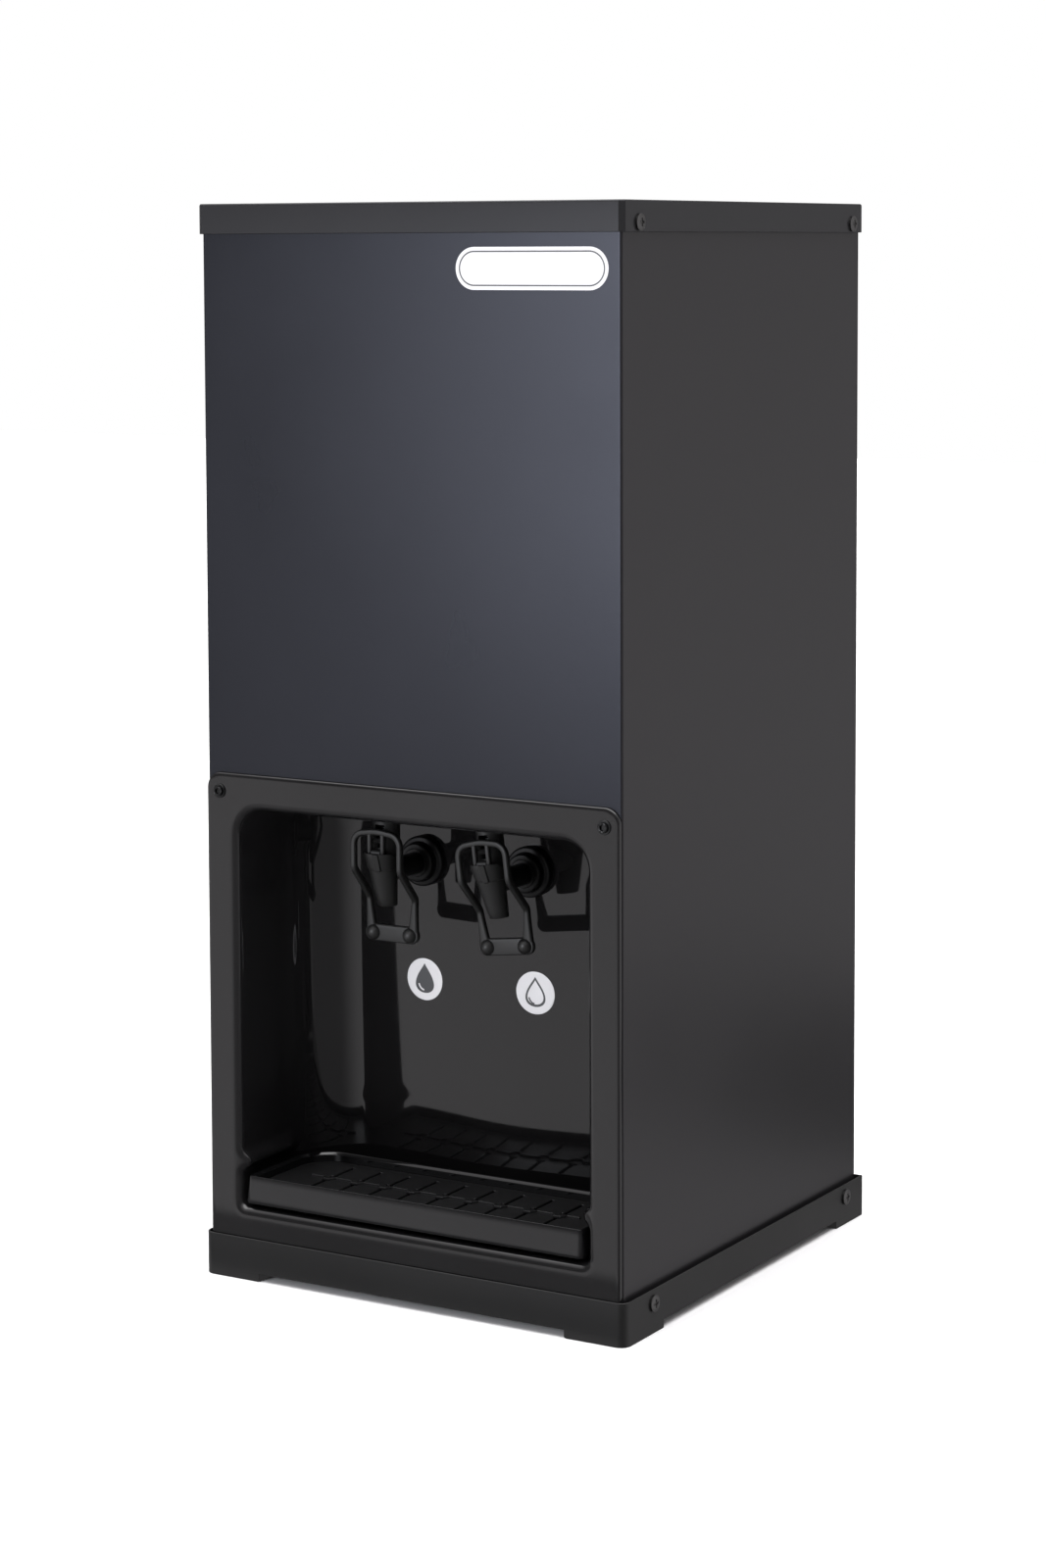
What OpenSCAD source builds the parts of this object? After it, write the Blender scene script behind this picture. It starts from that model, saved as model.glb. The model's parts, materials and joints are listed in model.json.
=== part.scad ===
// Free-standing water cooler with two cup-operated taps in an alcove over a drip tray.
// Millimetres, +Z up, the front faces -Y, the origin is the middle of the bounding box's bottom.

/* [Cabinet] */
// Height from the floor to the top of the cap
height = 800; // [780:1:860]
// Width over the side panels
body_w = 352; // [346:1:380]
// Depth from the front panel's face to the rear panel's face
body_d = 378; // [374:1:410]
// Thickness of the cabinet sheet
sheet_t = 1.2; // [0.8:0.1:1.5]
// Outer radius of the side panels' bends
bend_r = 1.8; // [1.6:0.1:3]
// Width of the side panels' folded flanges
flange_w = 17; // [15:0.5:20]

/* [Top cap] */
// Height of the cap's skirt
cap_h = 22; // [16:0.5:30]
// How far the cap stands out past the body on each side
cap_over = 2.8; // [2.2:0.1:5]
// Radius of the cap's upright corners
cap_corner_r = 4; // [2.5:0.5:6]

/* [Plinth] */
// Height of the plinth's top edge above the floor
plinth_h = 32; // [29:0.5:45]
// Height of the gap under the plinth between its feet
foot_h = 6; // [5:0.5:9]
// Wall thickness of the plinth's skirt
plinth_t = 1.6; // [1.2:0.1:2.5]
// Thickness of the plinth's deck
deck_t = 3; // [2:0.5:5]
// Radius of the plinth's front corners
plinth_corner_r = 6.5; // [4:0.5:7]
// Length of each foot along the front and the rear
foot_w = 50; // [35:1:70]
// Length of each front foot along the side
front_foot_l = 57; // [40:1:80]
// Length of each rear foot along the side
rear_foot_l = 48; // [35:1:70]
// Radius of the feet's lower inner corners
foot_corner_r = 2.5; // [2:0.5:4.5]

/* [Alcove panel] */
// Thickness of the panel, which is also how far it stands proud of the front
fascia_t = 3; // [2:0.1:4]
// Height of the panel's top edge above the floor
fascia_top = 381; // [378:1:395]
// Radius of the panel's top corners
fascia_corner_r = 12; // [6:0.5:16]
// Width of the alcove's opening
alcove_w = 298; // [292:1:302]
// Height of the alcove's ceiling above the floor
alcove_top = 354; // [352:0.5:357]
// Height of the alcove's floor, under the drip tray
alcove_floor = 55; // [48:0.5:60]
// Depth from the front panel's face to the alcove's back wall
alcove_depth = 98; // [94:0.5:115]
// Radius of the opening's top corners
alcove_top_r = 20; // [10:1:30]
// Radius of the opening's bottom corners
alcove_floor_r = 5; // [2:0.5:6]
// Radius of the alcove's upright rear corners
alcove_rear_r = 42; // [30:1:50]
// Radius of the bead along each side wall above the tray
bead_r = 6; // [4.5:0.5:7]

/* [Drip tray] */
// Gap between the tray and each side wall of the alcove
tray_side_gap = 4; // [3.5:0.1:6]
// Gap between the tray and the alcove's back wall
tray_rear_gap = 6; // [4:0.5:10]
// Height of the tray from its underside to its rim
tray_h = 21; // [19:0.5:28]
// Height of the runners under the tray
runner_h = 2.2; // [1.5:0.1:4]
// Wall thickness of the tray
tray_t = 2.2; // [1.6:0.1:3]
// Width of the ledge in the tray that carries the grille
ledge_w = 4; // [3:0.5:6]
// Thickness of the grille
grille_t = 3; // [2:0.1:4]
// How far the grille's top lies below the tray's rim
grille_drop = 7; // [5:0.5:9]
// Spacing of the grille's slots
slot_pitch = 25; // [15:0.5:40]
// Width of a grille slot
slot_w = 3; // [2:0.1:6]

/* [Taps] */
// Distance between the two taps' stems
tap_spacing = 93; // [84:1:120]
// Height of the stems' axes above the floor
tap_z = 310; // [300:0.5:311]
// Distance from the back wall to the plunger's axis
tap_reach = 54.5; // [50:0.5:58]
// Turn of the left tap about its stem, foot towards the right
left_tap_roll = 0; // [-8:0.5:8]
// Turn of the right tap about its stem, foot towards the right
right_tap_roll = 7; // [-8:0.5:8]
// Radius of the stem's threaded length
thread_r = 10.3; // [9.5:0.1:11]
// Radius of the wall nut's flange
wall_nut_r = 19; // [17.5:0.5:22]
// Radius of the nozzle's rim
rim_r = 12.5; // [11.5:0.1:14]
// Radius of the nozzle at its outlet
outlet_r = 7.2; // [6:0.1:8]
// Height of the nozzle's rim above the stem's axis
rim_z = 12.3; // [11:0.1:14]
// Length of the nozzle from its rim to its outlet
nozzle_l = 38; // [34:0.5:42]
// Lean of the nozzle's axis from the vertical
nozzle_lean = 12; // [6:0.5:14]
// Radius of the bonnet over the valve
bonnet_r = 10; // [9.5:0.1:11]
// Height of the bonnet above the nozzle's rim
bonnet_h = 27.5; // [26.5:0.1:29]
// Distance between the centres of the lever's legs
lever_w = 40; // [36:0.5:46]
// Radius of the lever's rod
lever_rod_r = 2.3; // [1.8:0.1:2.5]
// Height of the lever's arch above the nozzle's rim
lever_rise = 18.7; // [17.5:0.1:20]
// Depth of the cup bar's middle below the stem's axis
cup_bar_drop = 48; // [44:0.5:54]
// Height of the cup bar
cup_bar_h = 12.5; // [10:0.5:16]
// Radius of the lever's pivot pin
pin_r = 1.4; // [1:0.1:1.6]

/* [Cold tank] */
// Outer radius of the tank
tank_r = 115; // [100:1:118]
// Space between the tank's rim and the cap
tank_headroom = 49; // [45:1:70]
// Wall thickness of the tank
tank_t = 1; // [0.6:0.1:2]
// Radius of the evaporator's tube
coil_tube_r = 4; // [3:0.1:5]
// Rise of one turn of the evaporator
coil_pitch = 20; // [12:0.5:21]
// Thickness of the insulation around the evaporator
insulation_t = 34; // [24:1:38]

/* [Cooling unit] */
// Radius of the compressor's shell
compressor_r = 72; // [60:1:76]
// Height of the compressor's shell
compressor_h = 150; // [120:1:165]
// Radius of the refrigerant tubes
line_r = 3; // [2:0.1:3.5]
// Number of straight runs of the condenser
condenser_runs = 9; // [5:2:9]
// Spacing of the condenser's runs
condenser_pitch = 30; // [20:1:32]
// Radius of the hoses
hose_r = 7; // [6:0.1:7.5]

/* [Fittings] */
// Radius of the cap and plinth screws' heads
screw_head_r = 5.3; // [4:0.1:5.3]
// Radius of the screws' shanks
screw_r = 2; // [1.5:0.1:2.4]
// Radius of the water inlet's thread
inlet_r = 10.2; // [9:0.1:11]
// How far the water inlet stands out of the rear panel
inlet_out = 16; // [14:0.5:20]
// Radius of the cord hole through the gland
cord_r = 4; // [3:0.1:5]

/* [Hidden] */
$fn = 64;

// Clearances: loose between neighbours, fine between a shaft and its hole, and a cutter's overrun
gap = 0.3;
fine = 0.06;
over = 1;

// Colours of the finishes
sheet_black = "#2b2c30";
plinth_black = "#262626";
gloss_black = "#141416";
tap_black = "#1c1c1b";
screw_black = "#202022";
steel = "#b9bcc0";
copper = "#b5713f";
rubber = "#1a1a1a";
foam = "#e9e9e6";
white_plastic = "#e6e6e2";

// Places across the cabinet
washer_h = 1;
fascia_head_h = 2.2;
half_w = body_w / 2;
plinth_over = fascia_t + 0.2 + plinth_t;
front_reach = max(plinth_over, fascia_t + washer_h + fascia_head_h);
mid_y = -(inlet_out - front_reach) / 2;
front_y = mid_y - body_d / 2;
rear_y = mid_y + body_d / 2;
rear_in = rear_y - sheet_t;
pipe_y = rear_in - 14;
flange_front_y = front_y + sheet_t + 0.1;
flange_rear_y = rear_in - 0.1;
sheet_edge_x = half_w - 0.4;

// Heights of the cabinet
deck_top = foot_h + deck_t;
cap_z = height - cap_h;
panel_top = height - sheet_t;
front_lap = 8;
shelf_top = fascia_top + 18;
shelf_skirt = 16;
shelf_x = half_w - sheet_t - 0.1;
shelf_front = flange_front_y + sheet_t + gap;
shelf_rear = rear_in - 34;

// Screws: places along the side, heights and shank lengths
cap_screw_ys = [front_y + 20.5, rear_y - 17.5];
cap_screw_z = cap_z + screw_head_r + 0.2;
plinth_screw_ys = [front_y + 36.5, rear_y - 26.5];
plinth_screw_z = plinth_h - 10;
head_h = 2.4;
grip = 4;
fascia_screw_x = half_w - 12.5;
fascia_screw_z = fascia_top - 14;
rear_screw_x = half_w - flange_w / 2;
rear_screw_r = 4;
rear_screw_zs = [plinth_h + 28, shelf_top, cap_z - 40];
hole_r = screw_r + fine;

// Alcove and tray
wall_y = front_y + alcove_depth;
tray_w = alcove_w - 2 * tray_side_gap;
tray_front = front_y - fascia_t + 0.5;
tray_rear = wall_y - tray_rear_gap;
tray_z = alcove_floor + gap + runner_h;
tray_top = tray_z + tray_h;
tray_rear_r = alcove_rear_r - 13;
tray_front_r = 3;
tray_floor_t = 2;
runner_x = tray_w / 3;
runner_w = 6;
bead_z = tray_top + 4 + bead_r;
grille_top = tray_top - grille_drop;
grille_z = grille_top - grille_t;
grille_gap = 1;
grille_edge = tray_t + grille_gap;
grille_border = 9;
rib_w = 8;
rib_h = 1.5;

// Tap, measured from the stem's axis at the back wall's face, with -Y towards the front
valve_y = -tap_reach;
gasket_t = 2;
nut_flange_t = 7;
nut_ring_t = 7;
nut_front = -(gasket_t + nut_flange_t + nut_ring_t);
lock_nut_t = 8;
thread_end = fascia_t + lock_nut_t + 9;
tail_end = thread_end + 14;
tail_r = hose_r - 2;
neck_r = 8.2;
stem_bore_r = 4;
chamber_r = 8.6;
chamber_bore_r = 6.8;
seat_z = -14;
outlet_bore_r = 3.8;
outlet_z = rim_z - nozzle_l;
collar_h = 4;
bonnet_bore_r = bonnet_r - 2.4;
bonnet_floor = 4.2;
bonnet_roof = 1.5;
bonnet_ceiling = rim_z + bonnet_h - bonnet_roof;
eye_r = pin_r + 1.2;
pivot_y = valve_y - bonnet_r - eye_r - 0.4;
pivot_z = rim_z + eye_r + 0.5;
lug_w = 7.6;
arm_t = 3;
arm_in = lug_w / 2 + gap;
lever_front = pivot_y - 0.5;
bar_y = valve_y + 7.5;
bar_z = -cup_bar_drop;
bar_t = 4.5;
bar_side = 3;
boss_r = 6;
boss_x = lever_w / 2 - 4.2;
arch_z = rim_z + lever_rise;
arch_r = 10;
kink_r = 8;
upper_kink_z = 3;
lower_kink_z = -21;
tongue_z = rim_z + 10;
tongue_t = 3.5;
tongue_w = 7;
tongue_back = 4.5;
stem_r = 2.5;
plunger_neck_r = 1.8;
head_r = 4.5;
plunger_head_t = 3;
plunger_head_z = tongue_z + tongue_t + 0.4;
plunger_neck_z = tongue_z - 2.5;
seal_r = 5.4;
seal_t = 3;
spring_wire_r = 0.35;
spring_r = 3.4;
spring_turns = 5;

// Cold tank
tank_y = mid_y;
insulation_base = 25;
insulation_gap = 4;
insulation_half_w = half_w - sheet_t - insulation_gap;
insulation_rear = pipe_y - line_r - insulation_gap - tank_y;
coil_steps = 24;
coil_r = (tank_r + coil_tube_r + gap) / cos(180 / coil_steps);
insulation_in = tank_r + 2 * coil_tube_r + 3;
insulation_r = insulation_in + insulation_t;
tank_z = shelf_top + insulation_base;
tank_top = panel_top - tank_headroom;
insulation_top = tank_top - 35;
coil_z = tank_z + 36;
coil_head = 46;
coil_turns = floor((insulation_top - coil_head - coil_z) / coil_pitch);
coil_exit_x = 24;
coil_bend_r = 12;
exit_run = 11;
exit_bend_r = 8;
coil_exit_y = pipe_y - exit_run - tank_y;
coil_top_z = coil_z + coil_turns * coil_pitch;
outlet_x = -tap_spacing / 2;
outlet_stub_r = 6;
outlet_stub_end = shelf_top - 18;
lid_t = 3;

// Float valve and water inlet
valve_z = tank_top - 18;
float_body_r = 8;
float_flange_t = 3;
float_tail_end = tank_r + 15;
float_hinge_y = tank_r - 20;
float_eye_r = 4;
float_hinge_z = valve_z - float_body_r - float_eye_r - gap;
float_arm_l = tank_r - 5;
float_droop = 25;
float_r = 26;
ear_t = 5;
float_pin_r = 1.94;
inlet_flange_r = 14;
inlet_flange_t = 3;
inlet_nut_t = 6;
tee_y = rear_in - 21;
tee_r = 9;
tee_tail = 17;
tee_side_x = 22;
natural_x = tee_side_x + 53;
hose_bend_r = 25;
hose_slant = 90;
tap_x = tap_spacing / 2;
tail_y = wall_y + tail_end;

// Cooling unit
comp_x = -half_w + 121;
comp_y = mid_y + 55;
mount_h = 20;
mount_r = 11;
bolt_r = 3;
comp_plate_t = 3;
comp_plate_z = deck_top + mount_h;
comp_z = comp_plate_z + comp_plate_t;
comp_shoulder_r = 34;
comp_wall = 6;
mount_dx = compressor_r + 12;
mount_dy = compressor_r - 20;
plate_edge = 12;
stub_in = 40;
stub_top = comp_z + compressor_h + 22;
stub_dx = 34;
stub_dy = 22;
terminal_rise = compressor_h / 2 - 30;
cond_left = -half_w + 22;
cond_clear = 42;
cond_right = coil_exit_x - cond_clear;
cond_top = shelf_top - 30;
cond_wire_r = 0.8;
cond_wire_n = 12;
cond_margin = 40;
cond_rail_w = 12;
cond_turn_in = 12;
discharge_x = cond_left - 12;
pipe_bend_r = 12;
drier_x = coil_exit_x + 24;
drier_drop = 200;
drier_z = cond_top - drier_drop;
drier_cone = 12;
drier_l = 90;
drier_r = 10;
capillary_r = 1.4;
capillary_bend_r = 10;
suction_z = stub_top + 40;
cross_z = coil_z + 40;

// Rear controls
thermo_x = -half_w + 66;
thermo_z = cap_z - 80;
thermo_shaft_r = 3;
thermo_w = 36;
thermo_h = 48;
thermo_d = 26;
knob_r = 15;
knob_h = 12;
gland_x = half_w - 36;
gland_z = plinth_h + 40;
gland_r = 8;
gland_out = 12;
vent_zs = [for (z = [plinth_h + 46 : 16 : shelf_top - 40]) z];
vent_left = -half_w + 43;
vent_right = half_w - 59;
vent_part = 30;
vent_w = (vent_right - vent_left - vent_part) / 2;
vent_h = 6;
vent_xs = [vent_left + vent_w / 2, vent_right - vent_w / 2];

// Shapes that repeat

// Rectangle with round corners, one radius for its lower and one for its upper corners
module plate(x0, x1, y0, y1, r_low, r_high) {
    mid = (y0 + y1) / 2;
    translate([x0, y0 + r_low]) square([x1 - x0, y1 - y0 - r_low - r_high]);
    if (r_low > 0) {
        translate([x0 + r_low, y0]) square([x1 - x0 - 2 * r_low, mid - y0]);
        for (x = [x0 + r_low, x1 - r_low]) translate([x, y0 + r_low]) circle(r_low);
    }
    if (r_high > 0) {
        translate([x0 + r_high, mid]) square([x1 - x0 - 2 * r_high, y1 - mid]);
        for (x = [x0 + r_high, x1 - r_high]) translate([x, y1 - r_high]) circle(r_high);
    }
}

// Slot with round ends, centred
module slot(l, w) {
    square([l - w, w], center = true);
    for (s = [-1, 1]) translate([s * (l - w) / 2, 0]) circle(w / 2);
}

// Extrusions of an XZ outline along Y, and of a YZ outline along X
module along_y(y0, y1) translate([0, y1, 0]) rotate([90, 0, 0]) linear_extrude(y1 - y0) children();
module along_x(x0, x1) translate([x0, 0, 0]) rotate([90, 0, 90]) linear_extrude(x1 - x0) children();

// Cylinders along Y and along X
module rod_y(r, y0, y1) translate([0, y1, 0]) rotate([90, 0, 0]) cylinder(r = r, h = y1 - y0);
module rod_x(r, x0, x1) translate([x0, 0, 0]) rotate([0, 90, 0]) cylinder(r = r, h = x1 - x0);

// Ring around Z
module ring(r_out, r_in, h) difference() {
    cylinder(r = r_out, h = h);
    translate([0, 0, -over]) cylinder(r = r_in, h = h + 2 * over);
}

module both_sides() {
    children();
    mirror([1, 0, 0]) children();
}

// Pan-head screw with a cross recess: the head stands on Z = 0 and the shank goes down
module pan_screw(head, shank, shank_l) {
    dome = (head * head + head_h * head_h) / (2 * head_h);
    difference() {
        union() {
            intersection() {
                translate([0, 0, head_h - dome]) sphere(dome);
                cylinder(r = head, h = head_h);
            }
            translate([0, 0, -shank_l]) cylinder(r = shank, h = shank_l + over / 2);
        }
        for (turn = [0, 90]) rotate(turn) translate([-head / 2, -0.6, head_h - 1.3]) cube([head, 1.2, 2]);
    }
}

// Paths and swept tubes

function unit(v) = v / norm(v);

// A path of straight lines whose corners become arcs of the given radius, in equal steps
function corner_arc(a, p, b, r, steps) =
    let (d1 = unit(p - a), d2 = unit(b - p), turn = acos(d1 * d2), l = r * tan(turn / 2))
    let (start = p - l * d1, centre = p + unit(d2 - d1) * r / cos(turn / 2), e1 = unit(start - centre))
    [for (i = [0 : steps]) centre + r * (cos(turn * i / steps) * e1 + sin(turn * i / steps) * d1)];
function round_path(pts, rs, steps = 4) = [
    pts[0],
    for (i = [1 : len(pts) - 2]) each corner_arc(pts[i - 1], pts[i], pts[i + 1], rs[i - 1], steps),
    pts[len(pts) - 1]
];
function same(r, pts) = [for (i = [2 : len(pts) - 1]) r];

// Direction of travel at each point, and a side vector carried along without twist
function heading(path, i) = let (n = len(path) - 1)
    i == 0 ? unit(path[1] - path[0])
    : i == n ? unit(path[n] - path[n - 1])
    : unit(unit(path[i + 1] - path[i]) + unit(path[i] - path[i - 1]));
function carried(u, t) = unit(u - (u * t) * t);
function sides_of(path, u, i = 0, done = []) = i == len(path) ? done
    : let (v = carried(u, heading(path, i))) sides_of(path, v, i + 1, concat(done, [v]));

// Tube of radius r along a path, up is any direction not along its start
module tube(path, r, sides = 8, up = [0.31, 0.27, 0.91]) {
    us = sides_of(path, up);
    n = len(path);
    points = [for (i = [0 : n - 1], k = [0 : sides - 1]) let (t = heading(path, i), a = 360 * k / sides)
        path[i] + r * (cos(a) * us[i] + sin(a) * cross(t, us[i]))];
    walls = [for (i = [0 : n - 2], k = [0 : sides - 1])
        let (a = i * sides + k, b = i * sides + (k + 1) % sides)
        each [[a, b + sides, b], [a, a + sides, b + sides]]];
    last = (n - 1) * sides;
    ends = [for (k = [1 : sides - 2]) each [[0, k, k + 1], [last, last + k + 1, last + k]]];
    polyhedron(points, concat(walls, ends));
}

// Least free gap between points of a path that lie more than a half turn apart
function least_gap(path, r, apart) = min([for (i = [0 : len(path) - 1])
    for (j = [i + apart : 1 : len(path) - 1]) norm(path[i] - path[j])]) - 2 * r;

// Cabinet

module plinth_outline(inset) plate(-half_w - plinth_over + inset, half_w + plinth_over - inset,
    front_y - plinth_over + inset, rear_y + plinth_over - inset, plinth_corner_r - inset, 0);

// One foot's side view, its inner end at the origin with a round lower corner
module foot_profile(l) {
    translate([foot_corner_r, 0]) square([l - foot_corner_r, foot_h + over]);
    translate([0, foot_corner_r]) square([l, foot_h + over - foot_corner_r]);
    translate([foot_corner_r, foot_corner_r]) circle(foot_corner_r);
}
module foot(l) intersection() {
    along_y(0, l) foot_profile(foot_w);
    along_x(0, foot_w) foot_profile(l);
}
module feet() both_sides() translate([half_w + plinth_over - foot_w, 0, 0]) {
    translate([0, rear_y + plinth_over - rear_foot_l, 0]) foot(rear_foot_l);
    translate([0, front_y - plinth_over + front_foot_l, 0]) mirror([0, 1, 0]) foot(front_foot_l);
}
module plinth_screw_axes() both_sides() for (y = plinth_screw_ys)
    translate([0, y, plinth_screw_z]) children();
module cap_screw_axes() both_sides() for (y = cap_screw_ys)
    translate([0, y, cap_screw_z]) children();

module plinth() color(plinth_black) difference() {
    union() {
        translate([0, 0, foot_h]) linear_extrude(plinth_h - foot_h) plinth_outline(0);
        intersection() {
            linear_extrude(foot_h + over) plinth_outline(0);
            feet();
        }
    }
    translate([0, 0, deck_top]) linear_extrude(plinth_h) plinth_outline(plinth_t);
    plinth_screw_axes() rod_x(hole_r, half_w, half_w + plinth_over + over);
    for (dx = [-mount_dx, mount_dx], dy = [-mount_dy, mount_dy])
        translate([comp_x + dx, comp_y + dy, 0]) cylinder(r = bolt_r + fine, h = deck_top + over);
}

// Quarter of a bent sheet, its outer side towards +X -Y, centred on the bend
module bend() intersection() {
    difference() {
        circle(bend_r);
        circle(bend_r - sheet_t);
    }
    translate([0, -bend_r]) square(bend_r);
}
module side_outline() {
    translate([half_w - sheet_t, flange_front_y + bend_r])
        square([sheet_t, flange_rear_y - flange_front_y - 2 * bend_r]);
    translate([half_w - flange_w, flange_front_y]) square([flange_w - bend_r, sheet_t]);
    translate([half_w - flange_w, flange_rear_y - sheet_t]) square([flange_w - bend_r, sheet_t]);
    translate([half_w - bend_r, flange_front_y + bend_r]) bend();
    translate([half_w - bend_r, flange_rear_y - bend_r]) mirror([0, 1]) bend();
}
module side_panel() color(sheet_black) difference() {
    translate([0, 0, deck_top]) linear_extrude(panel_top - deck_top) side_outline();
    cap_screw_axes() rod_x(hole_r, half_w - 3 * sheet_t, half_w + over);
    plinth_screw_axes() rod_x(hole_r, half_w - 3 * sheet_t, half_w + over);
    translate([fascia_screw_x, 0, fascia_screw_z]) rod_y(hole_r, front_y, flange_front_y + 3 * sheet_t);
    for (z = rear_screw_zs) translate([rear_screw_x, 0, z])
        rod_y(hole_r, flange_rear_y - 3 * sheet_t, rear_y);
}
module left_side_panel() mirror([1, 0, 0]) side_panel();
module right_side_panel() side_panel();

module front_panel() color(sheet_black) along_y(front_y, front_y + sheet_t)
    plate(-sheet_edge_x, sheet_edge_x, fascia_top - front_lap, panel_top - gap, 0, 0);

module rear_panel() color(sheet_black) along_y(rear_in, rear_y) difference() {
    plate(-sheet_edge_x, sheet_edge_x, deck_top, panel_top - gap, 0, 0);
    for (x = vent_xs, z = vent_zs) translate([x, z]) slot(vent_w, vent_h);
    for (s = [-1, 1], z = rear_screw_zs) translate([s * rear_screw_x, z]) circle(hole_r);
    translate([0, valve_z]) circle(inlet_r + fine);
    translate([thermo_x, thermo_z]) circle(thermo_shaft_r + gap);
    translate([gland_x, gland_z]) circle(gland_r + fine);
}

module cap_outline(inset) plate(-half_w - cap_over + inset, half_w + cap_over - inset,
    front_y - cap_over + inset, rear_y + cap_over - inset, cap_corner_r - inset, cap_corner_r - inset);
module top_cap() color(sheet_black) difference() {
    translate([0, 0, cap_z]) linear_extrude(cap_h) cap_outline(0);
    translate([0, 0, cap_z - over]) linear_extrude(cap_h - sheet_t + over) cap_outline(sheet_t);
    cap_screw_axes() rod_x(hole_r, half_w, half_w + cap_over + over);
}

module cap_screws() color(screw_black) cap_screw_axes() translate([half_w + cap_over, 0, 0])
    rotate([0, 90, 0]) pan_screw(screw_head_r, screw_r, cap_over + sheet_t + grip);
module plinth_screws() color(screw_black) plinth_screw_axes() translate([half_w + plinth_over, 0, 0])
    rotate([0, 90, 0]) pan_screw(screw_head_r, screw_r, plinth_over + sheet_t + grip);
module rear_screws() color(screw_black) both_sides() for (z = rear_screw_zs)
    translate([rear_screw_x, rear_y, z]) rotate([-90, 0, 0])
        pan_screw(rear_screw_r, screw_r, 2 * sheet_t + grip);

// Screws of the alcove panel, with a washer and a hexagon socket
module fascia_screws() color(screw_black) both_sides()
    translate([fascia_screw_x, front_y - fascia_t, fascia_screw_z]) rotate([90, 0, 0]) difference() {
        union() {
            cylinder(r = screw_head_r, h = washer_h);
            cylinder(r = screw_head_r * 0.72, h = washer_h + fascia_head_h);
            translate([0, 0, -fascia_t - 2 * sheet_t - grip])
                cylinder(r = screw_r, h = fascia_t + 2 * sheet_t + grip + over / 2);
        }
        translate([0, 0, washer_h]) cylinder(r = screw_head_r * 0.45, h = fascia_head_h + over, $fn = 6);
    }

// Shelf under the tank, a plate with its sides folded down, clear of the pipes behind it
module tank_shelf() color(steel) difference() {
    union() {
        translate([0, 0, shelf_top - sheet_t]) linear_extrude(sheet_t)
            plate(-shelf_x, shelf_x, shelf_front, shelf_rear, 0, 0);
        both_sides() translate([shelf_x - sheet_t, shelf_front, shelf_top - shelf_skirt])
            cube([sheet_t, shelf_rear - shelf_front, shelf_skirt]);
    }
    translate([outlet_x, tank_y, outlet_stub_end]) cylinder(r = outlet_stub_r + gap, h = shelf_top);
}

// Alcove panel

module opening(grow) plate(-alcove_w / 2 - grow, alcove_w / 2 + grow, alcove_floor - grow, alcove_top + grow,
    alcove_floor_r + grow, alcove_top_r + grow);
module recess(grow, y0) intersection() {
    along_y(y0, wall_y + grow) opening(grow);
    linear_extrude(alcove_top + 2 * grow + over)
        plate(-alcove_w / 2 - grow, alcove_w / 2 + grow, y0 - over, wall_y + grow, 0, alcove_rear_r + grow);
}
module side_bead() translate([alcove_w / 2, 0, bead_z]) {
    rod_y(bead_r, front_y + bead_r, wall_y - alcove_rear_r);
    for (y = [front_y + bead_r, wall_y - alcove_rear_r]) translate([0, y, 0]) sphere(bead_r);
}
module alcove_panel() color(gloss_black) difference() {
    union() {
        difference() {
            union() {
                along_y(front_y - fascia_t, front_y)
                    plate(-half_w + 0.6, half_w - 0.6, deck_top, fascia_top, 0, fascia_corner_r);
                recess(fascia_t, front_y - over);
            }
            recess(0, front_y - fascia_t - over);
        }
        both_sides() side_bead();
    }
    for (s = [-1, 1]) {
        translate([s * tap_x, 0, tap_z]) rod_y(thread_r + gap, wall_y - over, wall_y + fascia_t + over);
        translate([s * fascia_screw_x, 0, fascia_screw_z])
            rod_y(hole_r, front_y - fascia_t - over, front_y + over);
    }
}

// Drip tray

module tray_outline(inset) plate(-tray_w / 2 + inset, tray_w / 2 - inset,
    tray_front + inset, tray_rear - inset, max(tray_front_r - inset, 0.8), tray_rear_r - inset);
module drip_tray() color(gloss_black) difference() {
    union() {
        translate([0, 0, tray_z]) linear_extrude(tray_h) tray_outline(0);
        both_sides() translate([runner_x - runner_w / 2, tray_front + 10, alcove_floor + gap])
            cube([runner_w, tray_rear - tray_front - 30, runner_h + over]);
    }
    translate([0, 0, tray_z + tray_floor_t]) linear_extrude(tray_h) tray_outline(tray_t + ledge_w);
    translate([0, 0, grille_z]) linear_extrude(tray_h) tray_outline(tray_t);
}

// Grille: two rows of slots from front to back, parted by a rib across the middle
module tray_grille() color(gloss_black) {
    mid = (tray_front + tray_rear) / 2;
    row_l = (tray_rear - tray_front) / 2 - grille_edge - grille_border - rib_w / 2;
    count = floor((tray_w / 2 - tray_rear_r) / slot_pitch);
    translate([0, 0, grille_z]) linear_extrude(grille_t) difference() {
        tray_outline(grille_edge);
        for (i = [-count : count], s = [-1, 1])
            translate([i * slot_pitch, mid + s * (rib_w + row_l) / 2]) rotate(90) slot(row_l, slot_w);
    }
    translate([0, 0, grille_top - over]) linear_extrude(rib_h + over)
        plate(-tray_w / 2 + tray_rear_r, tray_w / 2 - tray_rear_r, mid - rib_w / 4, mid + rib_w / 4, 0, 0);
}

// Taps, each drawn at its stem and then set on the back wall, turned about the stem

module on_wall(side) translate([side * tap_x, wall_y, tap_z])
    rotate([0, side < 0 ? -left_tap_roll : -right_tap_roll, 0]) children();
module on_valve(z) translate([0, valve_y, z]) children();

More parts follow.
